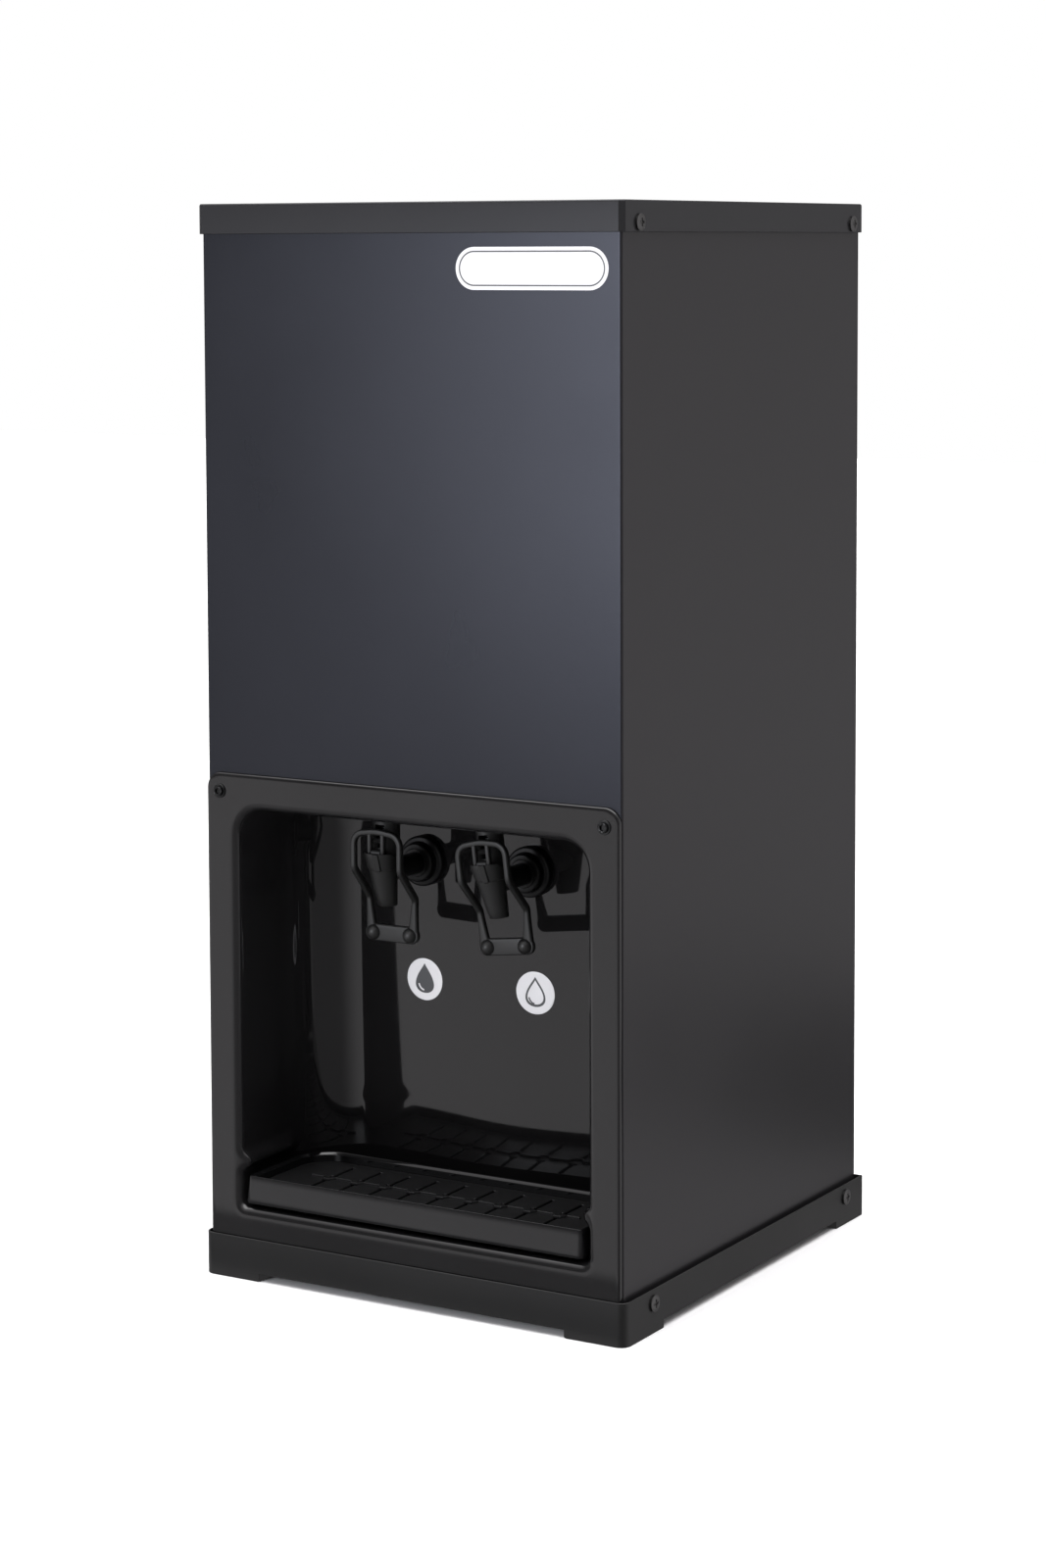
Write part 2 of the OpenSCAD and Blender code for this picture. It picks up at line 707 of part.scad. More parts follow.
module nozzle() intersection() {
    slope = (rim_r - outlet_r) * cos(nozzle_lean) / nozzle_l;
    ext = 8;
    translate([0, valve_y + over, outlet_z]) rotate([nozzle_lean, 0, 0]) translate([0, 0, -ext])
        cylinder(r1 = outlet_r - slope * ext, r2 = rim_r + slope * ext,
            h = nozzle_l / cos(nozzle_lean) + 2 * ext);
    translate([-2 * rim_r, valve_y - 3 * rim_r, outlet_z]) cube([4 * rim_r, 6 * rim_r, nozzle_l]);
}
module tap_body() color(tap_black) difference() {
    union() {
        rod_y(neck_r, valve_y, nut_front + over);
        rod_y(thread_r, nut_front, thread_end);
        rod_y(tail_r, thread_end - over, tail_end);
        on_valve(seat_z - 2) cylinder(r = chamber_r, h = rim_z - seat_z + 2);
        on_valve(rim_z - collar_h) cylinder(r = bonnet_r, h = collar_h);
        nozzle();
    }
    rod_y(stem_bore_r, valve_y, tail_end + over);
    on_valve(seat_z) cylinder(r = chamber_bore_r, h = rim_z - seat_z + over);
    on_valve(outlet_z - over) cylinder(r = outlet_bore_r, h = seat_z - outlet_z + 2 * over);
}

// Bonnet: a cup over the valve with a front window for the lever's tongue and a lug for its pivot
module tap_bonnet() color(tap_black) difference() {
    union() {
        on_valve(rim_z) cylinder(r = bonnet_r, h = bonnet_h);
        along_x(-lug_w / 2, lug_w / 2) {
            translate([pivot_y, rim_z]) square([valve_y - bonnet_bore_r - pivot_y, pivot_z + eye_r - rim_z]);
            translate([pivot_y - eye_r, rim_z]) square([2 * eye_r, pivot_z - rim_z]);
            translate([pivot_y, pivot_z]) circle(eye_r);
        }
    }
    on_valve(rim_z + bonnet_floor) cylinder(r = bonnet_bore_r, h = bonnet_h - bonnet_floor - bonnet_roof);
    on_valve(rim_z - over) cylinder(r = stem_r + fine, h = bonnet_floor + 2 * over);
    translate([-tongue_w / 2 - 0.5, valve_y - bonnet_r - over, pivot_z + eye_r + 0.5])
        cube([tongue_w + 1, bonnet_r, bonnet_ceiling - pivot_z - eye_r - 3]);
    translate([0, pivot_y, pivot_z]) rod_x(pin_r, -lug_w, lug_w);
}

// Lever: a bent rod round the nozzle, two arms on the pivot, a forked tongue under the plunger's head
// and a bar at the foot that a cup pushes back
lever_corners = [[-lever_w / 2, bar_y, bar_z], [-lever_w / 2, bar_y, lower_kink_z],
    [-lever_w / 2, lever_front, upper_kink_z], [-lever_w / 2, lever_front, arch_z],
    [lever_w / 2, lever_front, arch_z], [lever_w / 2, lever_front, upper_kink_z],
    [lever_w / 2, bar_y, lower_kink_z], [lever_w / 2, bar_y, bar_z]];
module lever_arm() along_x(arm_in, arm_in + arm_t) difference() {
    union() {
        translate([pivot_y, pivot_z]) circle(eye_r);
        translate([pivot_y - eye_r, pivot_z]) square([eye_r + 1.2, arch_z - pivot_z]);
    }
    translate([pivot_y, pivot_z]) circle(pin_r + fine);
}
module cup_bar() {
    along_y(bar_y - bar_t / 2, bar_y + bar_t / 2) plate(-lever_w / 2 - bar_side, lever_w / 2 + bar_side,
        bar_z - cup_bar_h / 2, bar_z + cup_bar_h / 2, cup_bar_h * 0.45, cup_bar_h * 0.45);
    both_sides() intersection() {
        translate([boss_x, bar_y - 0.5, bar_z]) sphere(boss_r);
        translate([boss_x - 2 * boss_r, bar_y - 2 * boss_r, bar_z - 2 * boss_r])
            cube([4 * boss_r, 2 * boss_r, 4 * boss_r]);
    }
}
module tongue() difference() {
    union() {
        translate([-tongue_w / 2, pivot_y, tongue_z])
            cube([tongue_w, valve_y + tongue_back - pivot_y, tongue_t]);
        translate([-arm_in - over, pivot_y - eye_r, tongue_z])
            cube([2 * arm_in + 2 * over, eye_r + 1.2, tongue_t]);
    }
    translate([-plunger_neck_r - 0.5, valve_y - plunger_neck_r - 0.6, tongue_z - over])
        cube([2 * plunger_neck_r + 1, 4 * tongue_back, tongue_t + 2 * over]);
}
module tap_lever() color(tap_black) {
    tube(round_path(lever_corners, [kink_r, kink_r, arch_r, arch_r, kink_r, kink_r]), lever_rod_r, 10,
        [0.2, 0.9, 0.1]);
    both_sides() lever_arm();
    tongue();
    cup_bar();
}

module tap_pin() color(steel) translate([0, pivot_y, pivot_z]) rod_x(pin_r, -arm_in - arm_t, arm_in + arm_t);
module tap_plunger() color(white_plastic) {
    on_valve(seat_z + seal_t) cylinder(r = seal_r - 0.6, h = 2);
    on_valve(seat_z + seal_t) cylinder(r = stem_r, h = plunger_neck_z - seat_z - seal_t);
    on_valve(plunger_neck_z - over)
        cylinder(r = plunger_neck_r, h = plunger_head_z - plunger_neck_z + 2 * over);
    on_valve(plunger_head_z) cylinder(r = head_r, h = plunger_head_t);
}
module tap_seal() color(rubber) on_valve(seat_z) cylinder(r = seal_r, h = seal_t);

// Return spring between the plunger's head and the bonnet's roof
spring_low = plunger_head_z + plunger_head_t + spring_wire_r + 0.05;
spring_high = bonnet_ceiling - spring_wire_r - 0.05;
spring_path = [for (i = [0 : 10 * spring_turns]) [spring_r * cos(36 * i), spring_r * sin(36 * i),
    spring_low + (spring_high - spring_low) * i / (10 * spring_turns)]];
module tap_spring() color(steel) on_valve(0) tube(spring_path, spring_wire_r, 6);

module tap_wall_nut() color(tap_black) difference() {
    union() {
        rod_y(wall_nut_r, -gasket_t - nut_flange_t, -gasket_t);
        rod_y(wall_nut_r - 4.5, nut_front, -gasket_t - over);
    }
    rod_y(thread_r + fine, nut_front - over, over);
}
module tap_gasket() color(rubber) rotate([90, 0, 0]) ring(wall_nut_r - 2, thread_r + gap, gasket_t);
module tap_lock_nut() color(tap_black) difference() {
    translate([0, fascia_t + lock_nut_t, 0]) rotate([90, 0, 0])
        cylinder(r = thread_r + 7.5, h = lock_nut_t, $fn = 6);
    rod_y(thread_r + fine, fascia_t - over, fascia_t + lock_nut_t + over);
}

// Cold tank

// Foam jacket, round, and flat where the side panels or the pipes behind come near
module insulation() color(foam) translate([0, tank_y, 0]) difference() {
    intersection() {
        translate([0, 0, shelf_top]) cylinder(r = insulation_r, h = insulation_top - shelf_top);
        translate([-insulation_half_w, -insulation_r - over, shelf_top - over])
            cube([2 * insulation_half_w, insulation_r + over + insulation_rear,
                insulation_top - shelf_top + 2 * over]);
    }
    translate([0, 0, tank_z]) cylinder(r = insulation_in, h = insulation_top);
    translate([outlet_x, 0, shelf_top - over])
        cylinder(r = outlet_stub_r + gap, h = insulation_base + 2 * over);
    translate([-2 * coil_exit_x, tank_r - 8, coil_z - 16])
        cube([4 * coil_exit_x, insulation_r, coil_top_z - coil_z + 32]);
}
module water_tank() color(steel) translate([0, tank_y, 0]) difference() {
    union() {
        translate([0, 0, tank_z]) cylinder(r = tank_r, h = tank_top - tank_z);
        translate([outlet_x, 0, outlet_stub_end])
            cylinder(r = outlet_stub_r, h = tank_z - outlet_stub_end + tank_t / 2);
    }
    translate([0, 0, tank_z + tank_t]) cylinder(r = tank_r - tank_t, h = tank_top);
    translate([outlet_x, 0, outlet_stub_end - over]) cylinder(r = outlet_stub_r - 1.5, h = tank_z);
    translate([0, 0, valve_z]) rod_y(float_body_r + fine, 0, tank_r + over);
}
module tank_lid() color(white_plastic) translate([0, tank_y, tank_top]) {
    cylinder(r = tank_r + 3, h = lid_t);
    translate([0, 0, -4]) ring(tank_r - tank_t - gap, tank_r - tank_t - 3, 4 + over);
}

function coil_turn(n) = [for (i = [1 : coil_steps * n - 1]) let (a = 90 + 360 * i / coil_steps)
    [coil_r * cos(a), coil_r * sin(a), coil_z + coil_pitch * i / coil_steps]];
coil_path = concat(
    round_path([[coil_exit_x, coil_exit_y, coil_z], [coil_exit_x, coil_r, coil_z],
        [0, coil_r, coil_z]], [coil_bend_r]),
    coil_turn(coil_turns),
    round_path([[0, coil_r, coil_top_z], [-coil_exit_x, coil_r, coil_top_z],
        [-coil_exit_x, coil_exit_y, coil_top_z]], [coil_bend_r]));
module evaporator_coil() color(copper) translate([0, tank_y, 0]) tube(coil_path, coil_tube_r, 6);
echo(evaporator_gap = least_gap(coil_path, coil_tube_r, coil_steps / 2 + 1));
echo(spring_gap = least_gap(spring_path, spring_wire_r, 6));

// Float valve in the tank's rear wall, with an ear for the float arm

module float_valve() color(white_plastic) translate([0, tank_y, valve_z]) difference() {
    union() {
        rod_y(float_body_r, float_hinge_y - 3, tank_r + over);
        rod_y(float_body_r + 4, tank_r, tank_r + float_flange_t);
        rod_y(tail_r, tank_r, float_tail_end);
        translate([-ear_t / 2, float_hinge_y - float_eye_r, float_hinge_z - valve_z])
            cube([ear_t, 2 * float_eye_r, valve_z - float_hinge_z]);
        translate([0, float_hinge_y, float_hinge_z - valve_z]) rod_x(float_eye_r, -ear_t / 2, ear_t / 2);
    }
    translate([0, float_hinge_y, float_hinge_z - valve_z]) rod_x(float_pin_r + fine, -ear_t, ear_t);
}
module at_float_hinge() translate([0, tank_y + float_hinge_y, float_hinge_z])
    rotate([float_droop, 0, 0]) children();
module float_arm() color(white_plastic) at_float_hinge() {
    both_sides() along_x(ear_t / 2 + gap, ear_t / 2 + gap + 2.5) {
        circle(float_eye_r);
        translate([-16, -2.5]) square([16, 5]);
    }
    rod_x(float_pin_r, -ear_t / 2 - 2, ear_t / 2 + 2);
    translate([-ear_t / 2 - 2, -16, -2.5]) cube([ear_t + 4, 6, 5]);
    rod_y(2, -float_arm_l + float_r, -12);
}
module float_ball() color("#d9622b") at_float_hinge() translate([0, -float_arm_l, 0]) intersection() {
    sphere(float_r);
    translate([-float_r, -float_r, -float_r]) cube([2 * float_r, 2 * float_r - 0.2, 2 * float_r]);
}

// Water inlet through the rear panel, a tee inside it, and the hoses

module inlet_fitting() color("#c9b27c") translate([0, 0, valve_z]) {
    rod_y(inlet_flange_r, rear_y, rear_y + inlet_flange_t);
    rod_y(inlet_r, rear_in - inlet_nut_t - 4, rear_y + inlet_out);
    rod_y(tee_r, tee_y - tee_r, rear_in - inlet_nut_t - 3);
    rod_y(tail_r, tee_y - tee_tail, tee_y);
    translate([0, tee_y, 0]) rod_x(tail_r, 0, tee_side_x);
}
module inlet_nut() color("#c9b27c") translate([0, rear_in, valve_z]) rotate([90, 0, 0]) difference() {
    cylinder(r = inlet_r + 5, h = inlet_nut_t, $fn = 6);
    translate([0, 0, -over]) cylinder(r = inlet_r + fine, h = inlet_nut_t + 2 * over);
}
module float_hose() color(white_plastic) translate([0, 0, valve_z])
    rod_y(hose_r, tank_y + float_tail_end, tee_y - tee_tail);

natural_route = [[tee_side_x, tee_y, valve_z], [natural_x, tee_y, valve_z], [natural_x, tee_y, tap_z],
    [tap_x, tee_y - hose_slant, tap_z], [tap_x, tail_y, tap_z]];
module natural_hose() color(white_plastic)
    tube(round_path(natural_route, same(hose_bend_r, natural_route)), hose_r);
cold_route = [[outlet_x, tank_y, outlet_stub_end], [outlet_x, tank_y, tap_z], [outlet_x, tail_y, tap_z]];
module cold_hose() color(white_plastic) tube(round_path(cold_route, same(hose_bend_r, cold_route)), hose_r);

// Compressor on its plate, rubber mounts and bolts

module comp_corners(z) for (dx = [-mount_dx, mount_dx], dy = [-mount_dy, mount_dy])
    translate([comp_x + dx, comp_y + dy, z]) children();
module shell_outline(inset) {
    r = compressor_r - inset;
    s = comp_shoulder_r - inset;
    translate([0, inset]) square([r, compressor_h - comp_shoulder_r - inset]);
    translate([0, compressor_h - comp_shoulder_r - over]) square([r - s, comp_shoulder_r - inset + over]);
    translate([r - s, compressor_h - comp_shoulder_r]) intersection() {
        circle(s);
        square(s);
    }
}
module compressor() color("#1d1d1f") difference() {
    union() {
        translate([comp_x, comp_y, comp_z]) {
            rotate_extrude() shell_outline(0);
            translate([0, 0, compressor_h * 0.5]) cylinder(r = compressor_r + 2, h = 4);
            translate([0, 0, terminal_rise]) rod_x(18, 0, compressor_r + 2);
        }
        translate([0, 0, comp_plate_z]) linear_extrude(comp_plate_t) plate(comp_x - mount_dx - plate_edge,
            comp_x + mount_dx + plate_edge, comp_y - mount_dy - plate_edge,
            comp_y + mount_dy + plate_edge, 8, 8);
        for (s = [-1, 1])
            translate([comp_x + s * stub_dx, comp_y + stub_dy, comp_z + compressor_h - stub_in])
                cylinder(r = line_r + 1, h = stub_top - comp_z - compressor_h + stub_in);
    }
    translate([comp_x, comp_y, comp_z]) rotate_extrude() shell_outline(comp_wall);
    comp_corners(comp_plate_z - over) cylinder(r = bolt_r + fine, h = comp_plate_t + 2 * over);
}
module compressor_mounts() color(rubber) comp_corners(deck_top) difference() {
    union() {
        cylinder(r = mount_r, h = mount_h * 0.4);
        cylinder(r = mount_r * 0.75, h = mount_h);
        translate([0, 0, mount_h * 0.6]) cylinder(r = mount_r, h = mount_h * 0.4);
    }
    translate([0, 0, -over]) cylinder(r = bolt_r + fine, h = mount_h + 2 * over);
}
module compressor_bolts() color(steel) comp_corners(foot_h) {
    cylinder(r = bolt_r, h = comp_z - foot_h + over);
    translate([0, 0, comp_z - foot_h]) cylinder(r = bolt_r * 2, h = 4, $fn = 6);
}
module terminal_box() color("#151515")
    translate([comp_x + compressor_r + 2, comp_y, comp_z + terminal_rise])
        along_x(0.1, 28) plate(-24, 24, -23, 23, 5, 5);

// Condenser: a tube bent to and fro with upright wires on both faces, on two rails
cond_zs = [for (i = [0 : condenser_runs - 1]) cond_top - i * condenser_pitch];
cond_bottom = cond_zs[condenser_runs - 1];
cond_corners = [for (i = [0 : condenser_runs - 1]) each (i % 2 == 0
    ? [[cond_left, pipe_y, cond_zs[i]], [cond_right, pipe_y, cond_zs[i]]]
    : [[cond_right, pipe_y, cond_zs[i]], [cond_left, pipe_y, cond_zs[i]]])];
cond_last = len(cond_corners) - 1;
cond_turns = [for (i = [1 : cond_last - 1])
    cond_corners[i] + [cond_corners[i][0] == cond_left ? cond_turn_in : -cond_turn_in, 0, 0]];
cond_path = round_path(concat([cond_corners[0]], cond_turns, [cond_corners[cond_last]]),
    same(condenser_pitch / 2 - 0.1, cond_corners));
module condenser() color("#222224") {
    tube(cond_path, line_r, 8);
    first = cond_left + cond_margin;
    last = cond_right - cond_margin;
    step = (last - first) / (cond_wire_n - 1);
    for (i = [0 : cond_wire_n - 1], s = [-1, 1])
        translate([first + i * step, pipe_y + s * (line_r + cond_wire_r + 0.05), cond_bottom - 8])
            cylinder(r = cond_wire_r, h = cond_top - cond_bottom + 16);
    rail_y = pipe_y + line_r + 2 * cond_wire_r + 0.1;
    for (x = [first, last - cond_rail_w]) translate([x, rail_y, cond_bottom - 4])
        cube([cond_rail_w, rear_in - rail_y, cond_top - cond_bottom + 8]);
}
module filter_drier() color(copper) translate([drier_x, pipe_y, drier_z]) {
    cylinder(r = drier_r, h = drier_l);
    translate([0, 0, -drier_cone]) cylinder(r1 = line_r, r2 = drier_r, h = drier_cone);
    translate([0, 0, drier_l]) cylinder(r1 = drier_r, r2 = line_r, h = drier_cone);
}

// Discharge, liquid, capillary and suction lines
exit_y = tank_y + coil_exit_y;
discharge = [[comp_x - stub_dx, comp_y + stub_dy, stub_top], [comp_x - stub_dx, comp_y + stub_dy, suction_z],
    [discharge_x, comp_y + stub_dy, suction_z], [discharge_x, comp_y + stub_dy, cond_top],
    [discharge_x, pipe_y, cond_top], [cond_left, pipe_y, cond_top]];
liquid = [[cond_right, pipe_y, cond_bottom], [drier_x, pipe_y, cond_bottom],
    [drier_x, pipe_y, drier_z - drier_cone]];
capillary = [[drier_x, pipe_y, drier_z + drier_l + drier_cone], [drier_x, pipe_y, cross_z],
    [-coil_exit_x, pipe_y, cross_z], [-coil_exit_x, pipe_y, coil_top_z], [-coil_exit_x, exit_y, coil_top_z]];
suction = [[coil_exit_x, exit_y, coil_z], [coil_exit_x, pipe_y, coil_z],
    [coil_exit_x, pipe_y, suction_z], [comp_x + stub_dx, comp_y + stub_dy, suction_z],
    [comp_x + stub_dx, comp_y + stub_dy, stub_top]];
module refrigerant_lines() color(copper) {
    tube(round_path(discharge, same(pipe_bend_r - 1, discharge)), line_r);
    tube(round_path(liquid, [pipe_bend_r]), line_r);
    tube(round_path(capillary, [capillary_bend_r, capillary_bend_r, exit_bend_r]),
        capillary_r);
    tube(round_path(suction, [exit_bend_r, pipe_bend_r, pipe_bend_r]), line_r);
}

// Rear controls

module thermostat() color("#cfcfca") translate([thermo_x, 0, thermo_z]) {
    along_y(rear_in - thermo_d, rear_in)
        plate(-thermo_w / 2, thermo_w / 2, -thermo_h / 2, thermo_h / 2, 4, 4);
    rod_y(thermo_shaft_r, rear_in - over, rear_y + knob_h - 2);
}
module thermostat_knob() color(tap_black) translate([thermo_x, rear_y + gap, thermo_z]) difference() {
    union() {
        rod_y(knob_r, 0, 3);
        rod_y(knob_r - 2, 0, knob_h);
    }
    rod_y(thermo_shaft_r + fine, -over, knob_h - 1.5);
    translate([-0.8, knob_h - 1, 3]) cube([1.6, 2 * over, knob_r]);
}
module cord_gland() color(rubber) translate([gland_x, 0, gland_z]) difference() {
    union() {
        rod_y(gland_r + 4, rear_y, rear_y + 4);
        rod_y(gland_r, rear_in - 10, rear_y + gland_out);
    }
    rod_y(cord_r, rear_in - 10 - over, rear_y + gland_out + over);
}
module gland_nut() color(rubber) translate([gland_x, rear_in, gland_z]) rotate([90, 0, 0]) difference() {
    cylinder(r = gland_r + 5, h = 6, $fn = 6);
    translate([0, 0, -over]) cylinder(r = gland_r + fine, h = 6 + 2 * over);
}

plinth();
left_side_panel();
right_side_panel();
front_panel();
rear_panel();
top_cap();
tank_shelf();
alcove_panel();
cap_screws();
plinth_screws();
fascia_screws();
rear_screws();
drip_tray();
tray_grille();
on_wall(-1) tap_body();  // left_tap_body
on_wall(-1) tap_bonnet();  // left_tap_bonnet
on_wall(-1) tap_lever();  // left_tap_lever
on_wall(-1) tap_pin();  // left_tap_pin
on_wall(-1) tap_plunger();  // left_tap_plunger
on_wall(-1) tap_seal();  // left_tap_seal
on_wall(-1) tap_spring();  // left_tap_spring
on_wall(-1) tap_wall_nut();  // left_tap_wall_nut
on_wall(-1) tap_gasket();  // left_tap_gasket
on_wall(-1) tap_lock_nut();  // left_tap_lock_nut
on_wall(1) tap_body();  // right_tap_body
on_wall(1) tap_bonnet();  // right_tap_bonnet
on_wall(1) tap_lever();  // right_tap_lever
on_wall(1) tap_pin();  // right_tap_pin
on_wall(1) tap_plunger();  // right_tap_plunger
on_wall(1) tap_seal();  // right_tap_seal
on_wall(1) tap_spring();  // right_tap_spring
on_wall(1) tap_wall_nut();  // right_tap_wall_nut
on_wall(1) tap_gasket();  // right_tap_gasket
on_wall(1) tap_lock_nut();  // right_tap_lock_nut
insulation();
water_tank();
tank_lid();
evaporator_coil();
float_valve();
float_arm();
float_ball();
inlet_fitting();
inlet_nut();
float_hose();
natural_hose();
cold_hose();
compressor();
compressor_mounts();
compressor_bolts();
terminal_box();
condenser();
filter_drier();
refrigerant_lines();
thermostat();
thermostat_knob();
cord_gland();
gland_nut();
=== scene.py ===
import json
import math

import bmesh
import bpy
import numpy as np
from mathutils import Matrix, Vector


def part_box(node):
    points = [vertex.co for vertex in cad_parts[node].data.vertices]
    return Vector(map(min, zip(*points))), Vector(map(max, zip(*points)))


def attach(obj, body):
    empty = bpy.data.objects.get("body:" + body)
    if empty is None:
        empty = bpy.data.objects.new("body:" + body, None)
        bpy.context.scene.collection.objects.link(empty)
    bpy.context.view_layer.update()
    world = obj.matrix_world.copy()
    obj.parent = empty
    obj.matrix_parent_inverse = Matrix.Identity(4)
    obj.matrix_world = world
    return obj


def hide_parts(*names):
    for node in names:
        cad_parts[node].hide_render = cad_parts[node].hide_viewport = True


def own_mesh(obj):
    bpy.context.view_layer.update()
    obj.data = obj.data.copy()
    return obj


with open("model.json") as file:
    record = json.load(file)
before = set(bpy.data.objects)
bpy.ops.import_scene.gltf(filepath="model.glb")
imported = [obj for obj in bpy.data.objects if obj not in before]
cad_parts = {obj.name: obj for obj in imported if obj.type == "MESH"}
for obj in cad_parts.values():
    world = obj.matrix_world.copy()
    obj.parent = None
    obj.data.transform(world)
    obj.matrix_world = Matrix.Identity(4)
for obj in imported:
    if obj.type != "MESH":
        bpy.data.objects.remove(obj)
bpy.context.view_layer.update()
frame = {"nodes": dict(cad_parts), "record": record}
scene = bpy.context.scene
scene.view_settings.view_transform = "Standard"
mm = 0.001  # shapes are worked out in millimetres and stored in metres
quarter = math.pi / 2
noRuns = ((), (), (), ())


# Lowest corner, highest corner and middle of a frame node, in millimetres
def nodeBox(node):
    low, high = np.array(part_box(node)) / mm
    return low, high, (low + high) / 2


plinthLow, plinthHigh = nodeBox("plinth")[:2]
capLow, capHigh = nodeBox("top_cap")[:2]
frontLow, frontHigh = nodeBox("front_panel")[:2]
panelLow, panelHigh = nodeBox("alcove_panel")[:2]
trayLow, trayHigh, trayMid = nodeBox("drip_tray")
grilleLow, grilleHigh = nodeBox("tray_grille")[:2]
frontY = frontLow[1]  # face of the front panel
fasciaY = panelLow[1]  # face of the alcove panel
rearY = nodeBox("rear_panel")[1][1]  # face of the rear panel
rearInY = rearY - 1.2  # the rear panel's inner face
midY = (frontY + rearY) / 2
fasciaThick = frontY - fasciaY
wallY = panelHigh[1] - fasciaThick  # face of the alcove's back wall
print("frame: front", round(frontY, 1), "wall", round(wallY, 1), "rear", round(rearY, 1))


# Surfaces: a shell is its points and a list of index arrays, one row of an array for each face

# Quads between each point of a grid and its next row and column; columns wrap round, and rows where asked
def gridQuads(rows, cols, wrapRows=False):
    a, b = np.meshgrid(np.arange(rows if wrapRows else rows - 1), np.arange(cols), indexing="ij")
    a2, b2 = (a + 1) % rows, (b + 1) % cols
    return np.stack([a * cols + b, a * cols + b2, a2 * cols + b2, a2 * cols + b], -1).reshape(-1, 4)


# Closed shell of loops: quads from loop to loop, and a flat face over the first and the last
def loft(loops, capped=True):
    loops = np.asarray(loops)
    rows, cols = loops.shape[:2]
    blocks = [gridQuads(rows, cols, wrapRows=not capped)]
    if capped:
        lid = np.arange(cols)[None]
        blocks += [lid[:, ::-1], lid + (rows - 1) * cols]
    return loops.reshape(-1, 3), blocks


# Several shells as one: their points in a row, their faces counted on
def together(*shells):
    starts = np.cumsum([0] + [len(points) for points, faces in shells])
    blocks = [block + start for (points, faces), start in zip(shells, starts) for block in faces]
    return np.concatenate([points for points, faces in shells]), blocks


# Shell with its points changed by a function of the whole array
def moved(shell, change, *more):
    return change(shell[0], *more), shell[1]


# Vectors of length one along the given ones
def unit(vectors):
    return vectors / np.linalg.norm(vectors, axis=-1, keepdims=True)


# Equal steps round a circle
def angles(steps):
    return np.linspace(0, 2 * math.pi, steps, endpoint=False)


# Rounded rectangle: a quarter arc of each corner's radius, with straight runs cut at the given shares between
def roundRect(x0, x1, y0, y1, radii, arcSteps=8, runs=noRuns):
    r = np.maximum(np.broadcast_to(np.asarray(radii, float), 4), 0.02)
    centres = np.array([(x1 - r[0], y0 + r[0]), (x1 - r[1], y1 - r[1]),
                        (x0 + r[2], y1 - r[2]), (x0 + r[3], y0 + r[3])])
    turn = np.linspace(-quarter, 0, arcSteps + 1) + quarter * np.arange(4)[:, None]
    arcs = centres[:, None] + r[:, None, None] * np.stack([np.cos(turn), np.sin(turn)], -1)
    parts = []
    for k in range(4):
        end, start = arcs[k, -1], arcs[(k + 1) % 4, 0]
        parts += [arcs[k], end + np.asarray(runs[k], float).reshape(-1, 1) * (start - end)]
    return np.concatenate(parts)


# Outward angle at each point of such a loop: it grows along an arc and stays along a run
def loopAngle(arcSteps, runs):
    turn = np.linspace(-quarter, 0, arcSteps + 1)
    return np.concatenate([part + k * quarter for k in range(4) for part in (turn, np.zeros(len(runs[k])))])


# Three coordinates in the order that puts the last one along the named axis
def ordered(u, v, level, axis):
    return np.stack({"z": (u, v, level), "y": (u, level, v), "x": (level, u, v)}[axis], -1)


# Flat loop of two coordinates set into space, with the level along the named axis
def standing(loop, level, axis="z"):
    return ordered(loop[:, 0], loop[:, 1], np.broadcast_to(level, len(loop)), axis)


# Stack of rounded rectangles: each (inset, level) pair of the profile is one loop, with corners smaller
# by the inset but never below the least
def stacked(bounds, radii, profile, axis="z", arcSteps=8, least=0.0, capped=True):
    x0, x1, y0, y1 = bounds
    radii = np.asarray(radii, float)
    loops = []
    for d, level in profile:
        loop = roundRect(x0 + d, x1 - d, y0 + d, y1 - d, np.maximum(radii - d, least), arcSteps)
        loops.append(standing(loop, level, axis))
    return loft(loops, capped)


# Path with round corners: an arc of the radius touches both sides of each inner corner; works in 2 or 3 axes
def roundPath(points, radii, steps=8):
    points = np.asarray(points, float)
    parts = [points[:1]]
    radii = np.broadcast_to(radii, len(points) - 2)
    for before, corner, after, radius in zip(points, points[1:], points[2:], radii):
        d1, d2 = unit(corner - before), unit(after - corner)
        turn = math.acos(np.clip(d1 @ d2, -1, 1))
        start = corner - d1 * radius * math.tan(turn / 2)
        centre = corner + unit(d2 - d1) * radius / math.cos(turn / 2)
        a = np.linspace(0, turn, steps + 1)[:, None]
        parts.append(centre + np.cos(a) * (start - centre) + np.sin(a) * radius * d1)
    return np.concatenate(parts + [points[-1:]])


# Circle of radius 1 as points of a section
def roundSection(sides=16):
    return np.stack([np.cos(angles(sides)), np.sin(angles(sides))], -1)


# Profile along a path: the section, scaled at each point, stands square to the path with one side
# facing a way
def sweep(path, section, scale=1.0, facing=(0.31, 0.27, 0.91)):
    path = np.asarray(path, float)
    step = unit(np.diff(path, axis=0))
    ahead = unit(np.concatenate([step[:1], step[:-1] + step[1:], step[-1:]]))
    facing = np.asarray(facing, float)
    out = unit(facing - (ahead @ facing)[:, None] * ahead)
    side = np.cross(out, ahead)
    scale = np.broadcast_to(scale, (len(path), 2))
    return loft(path[:, None] + (scale[:, :1] * section[:, 0])[..., None] * side[:, None]
                + (scale[:, 1:] * section[:, 1])[..., None] * out[:, None])


# Rings round an axis: a radius and a height for each row, either of which may also change with the angle
def rings(radius, height, axis="z", centre=(0, 0, 0), steps=48):
    a = angles(steps)
    radius = np.maximum(radius, 0.004)
    u, v, h = np.broadcast_arrays(radius * np.cos(a), radius * np.sin(a), height)
    return ordered(u, v, h, axis) + np.asarray(centre, float)


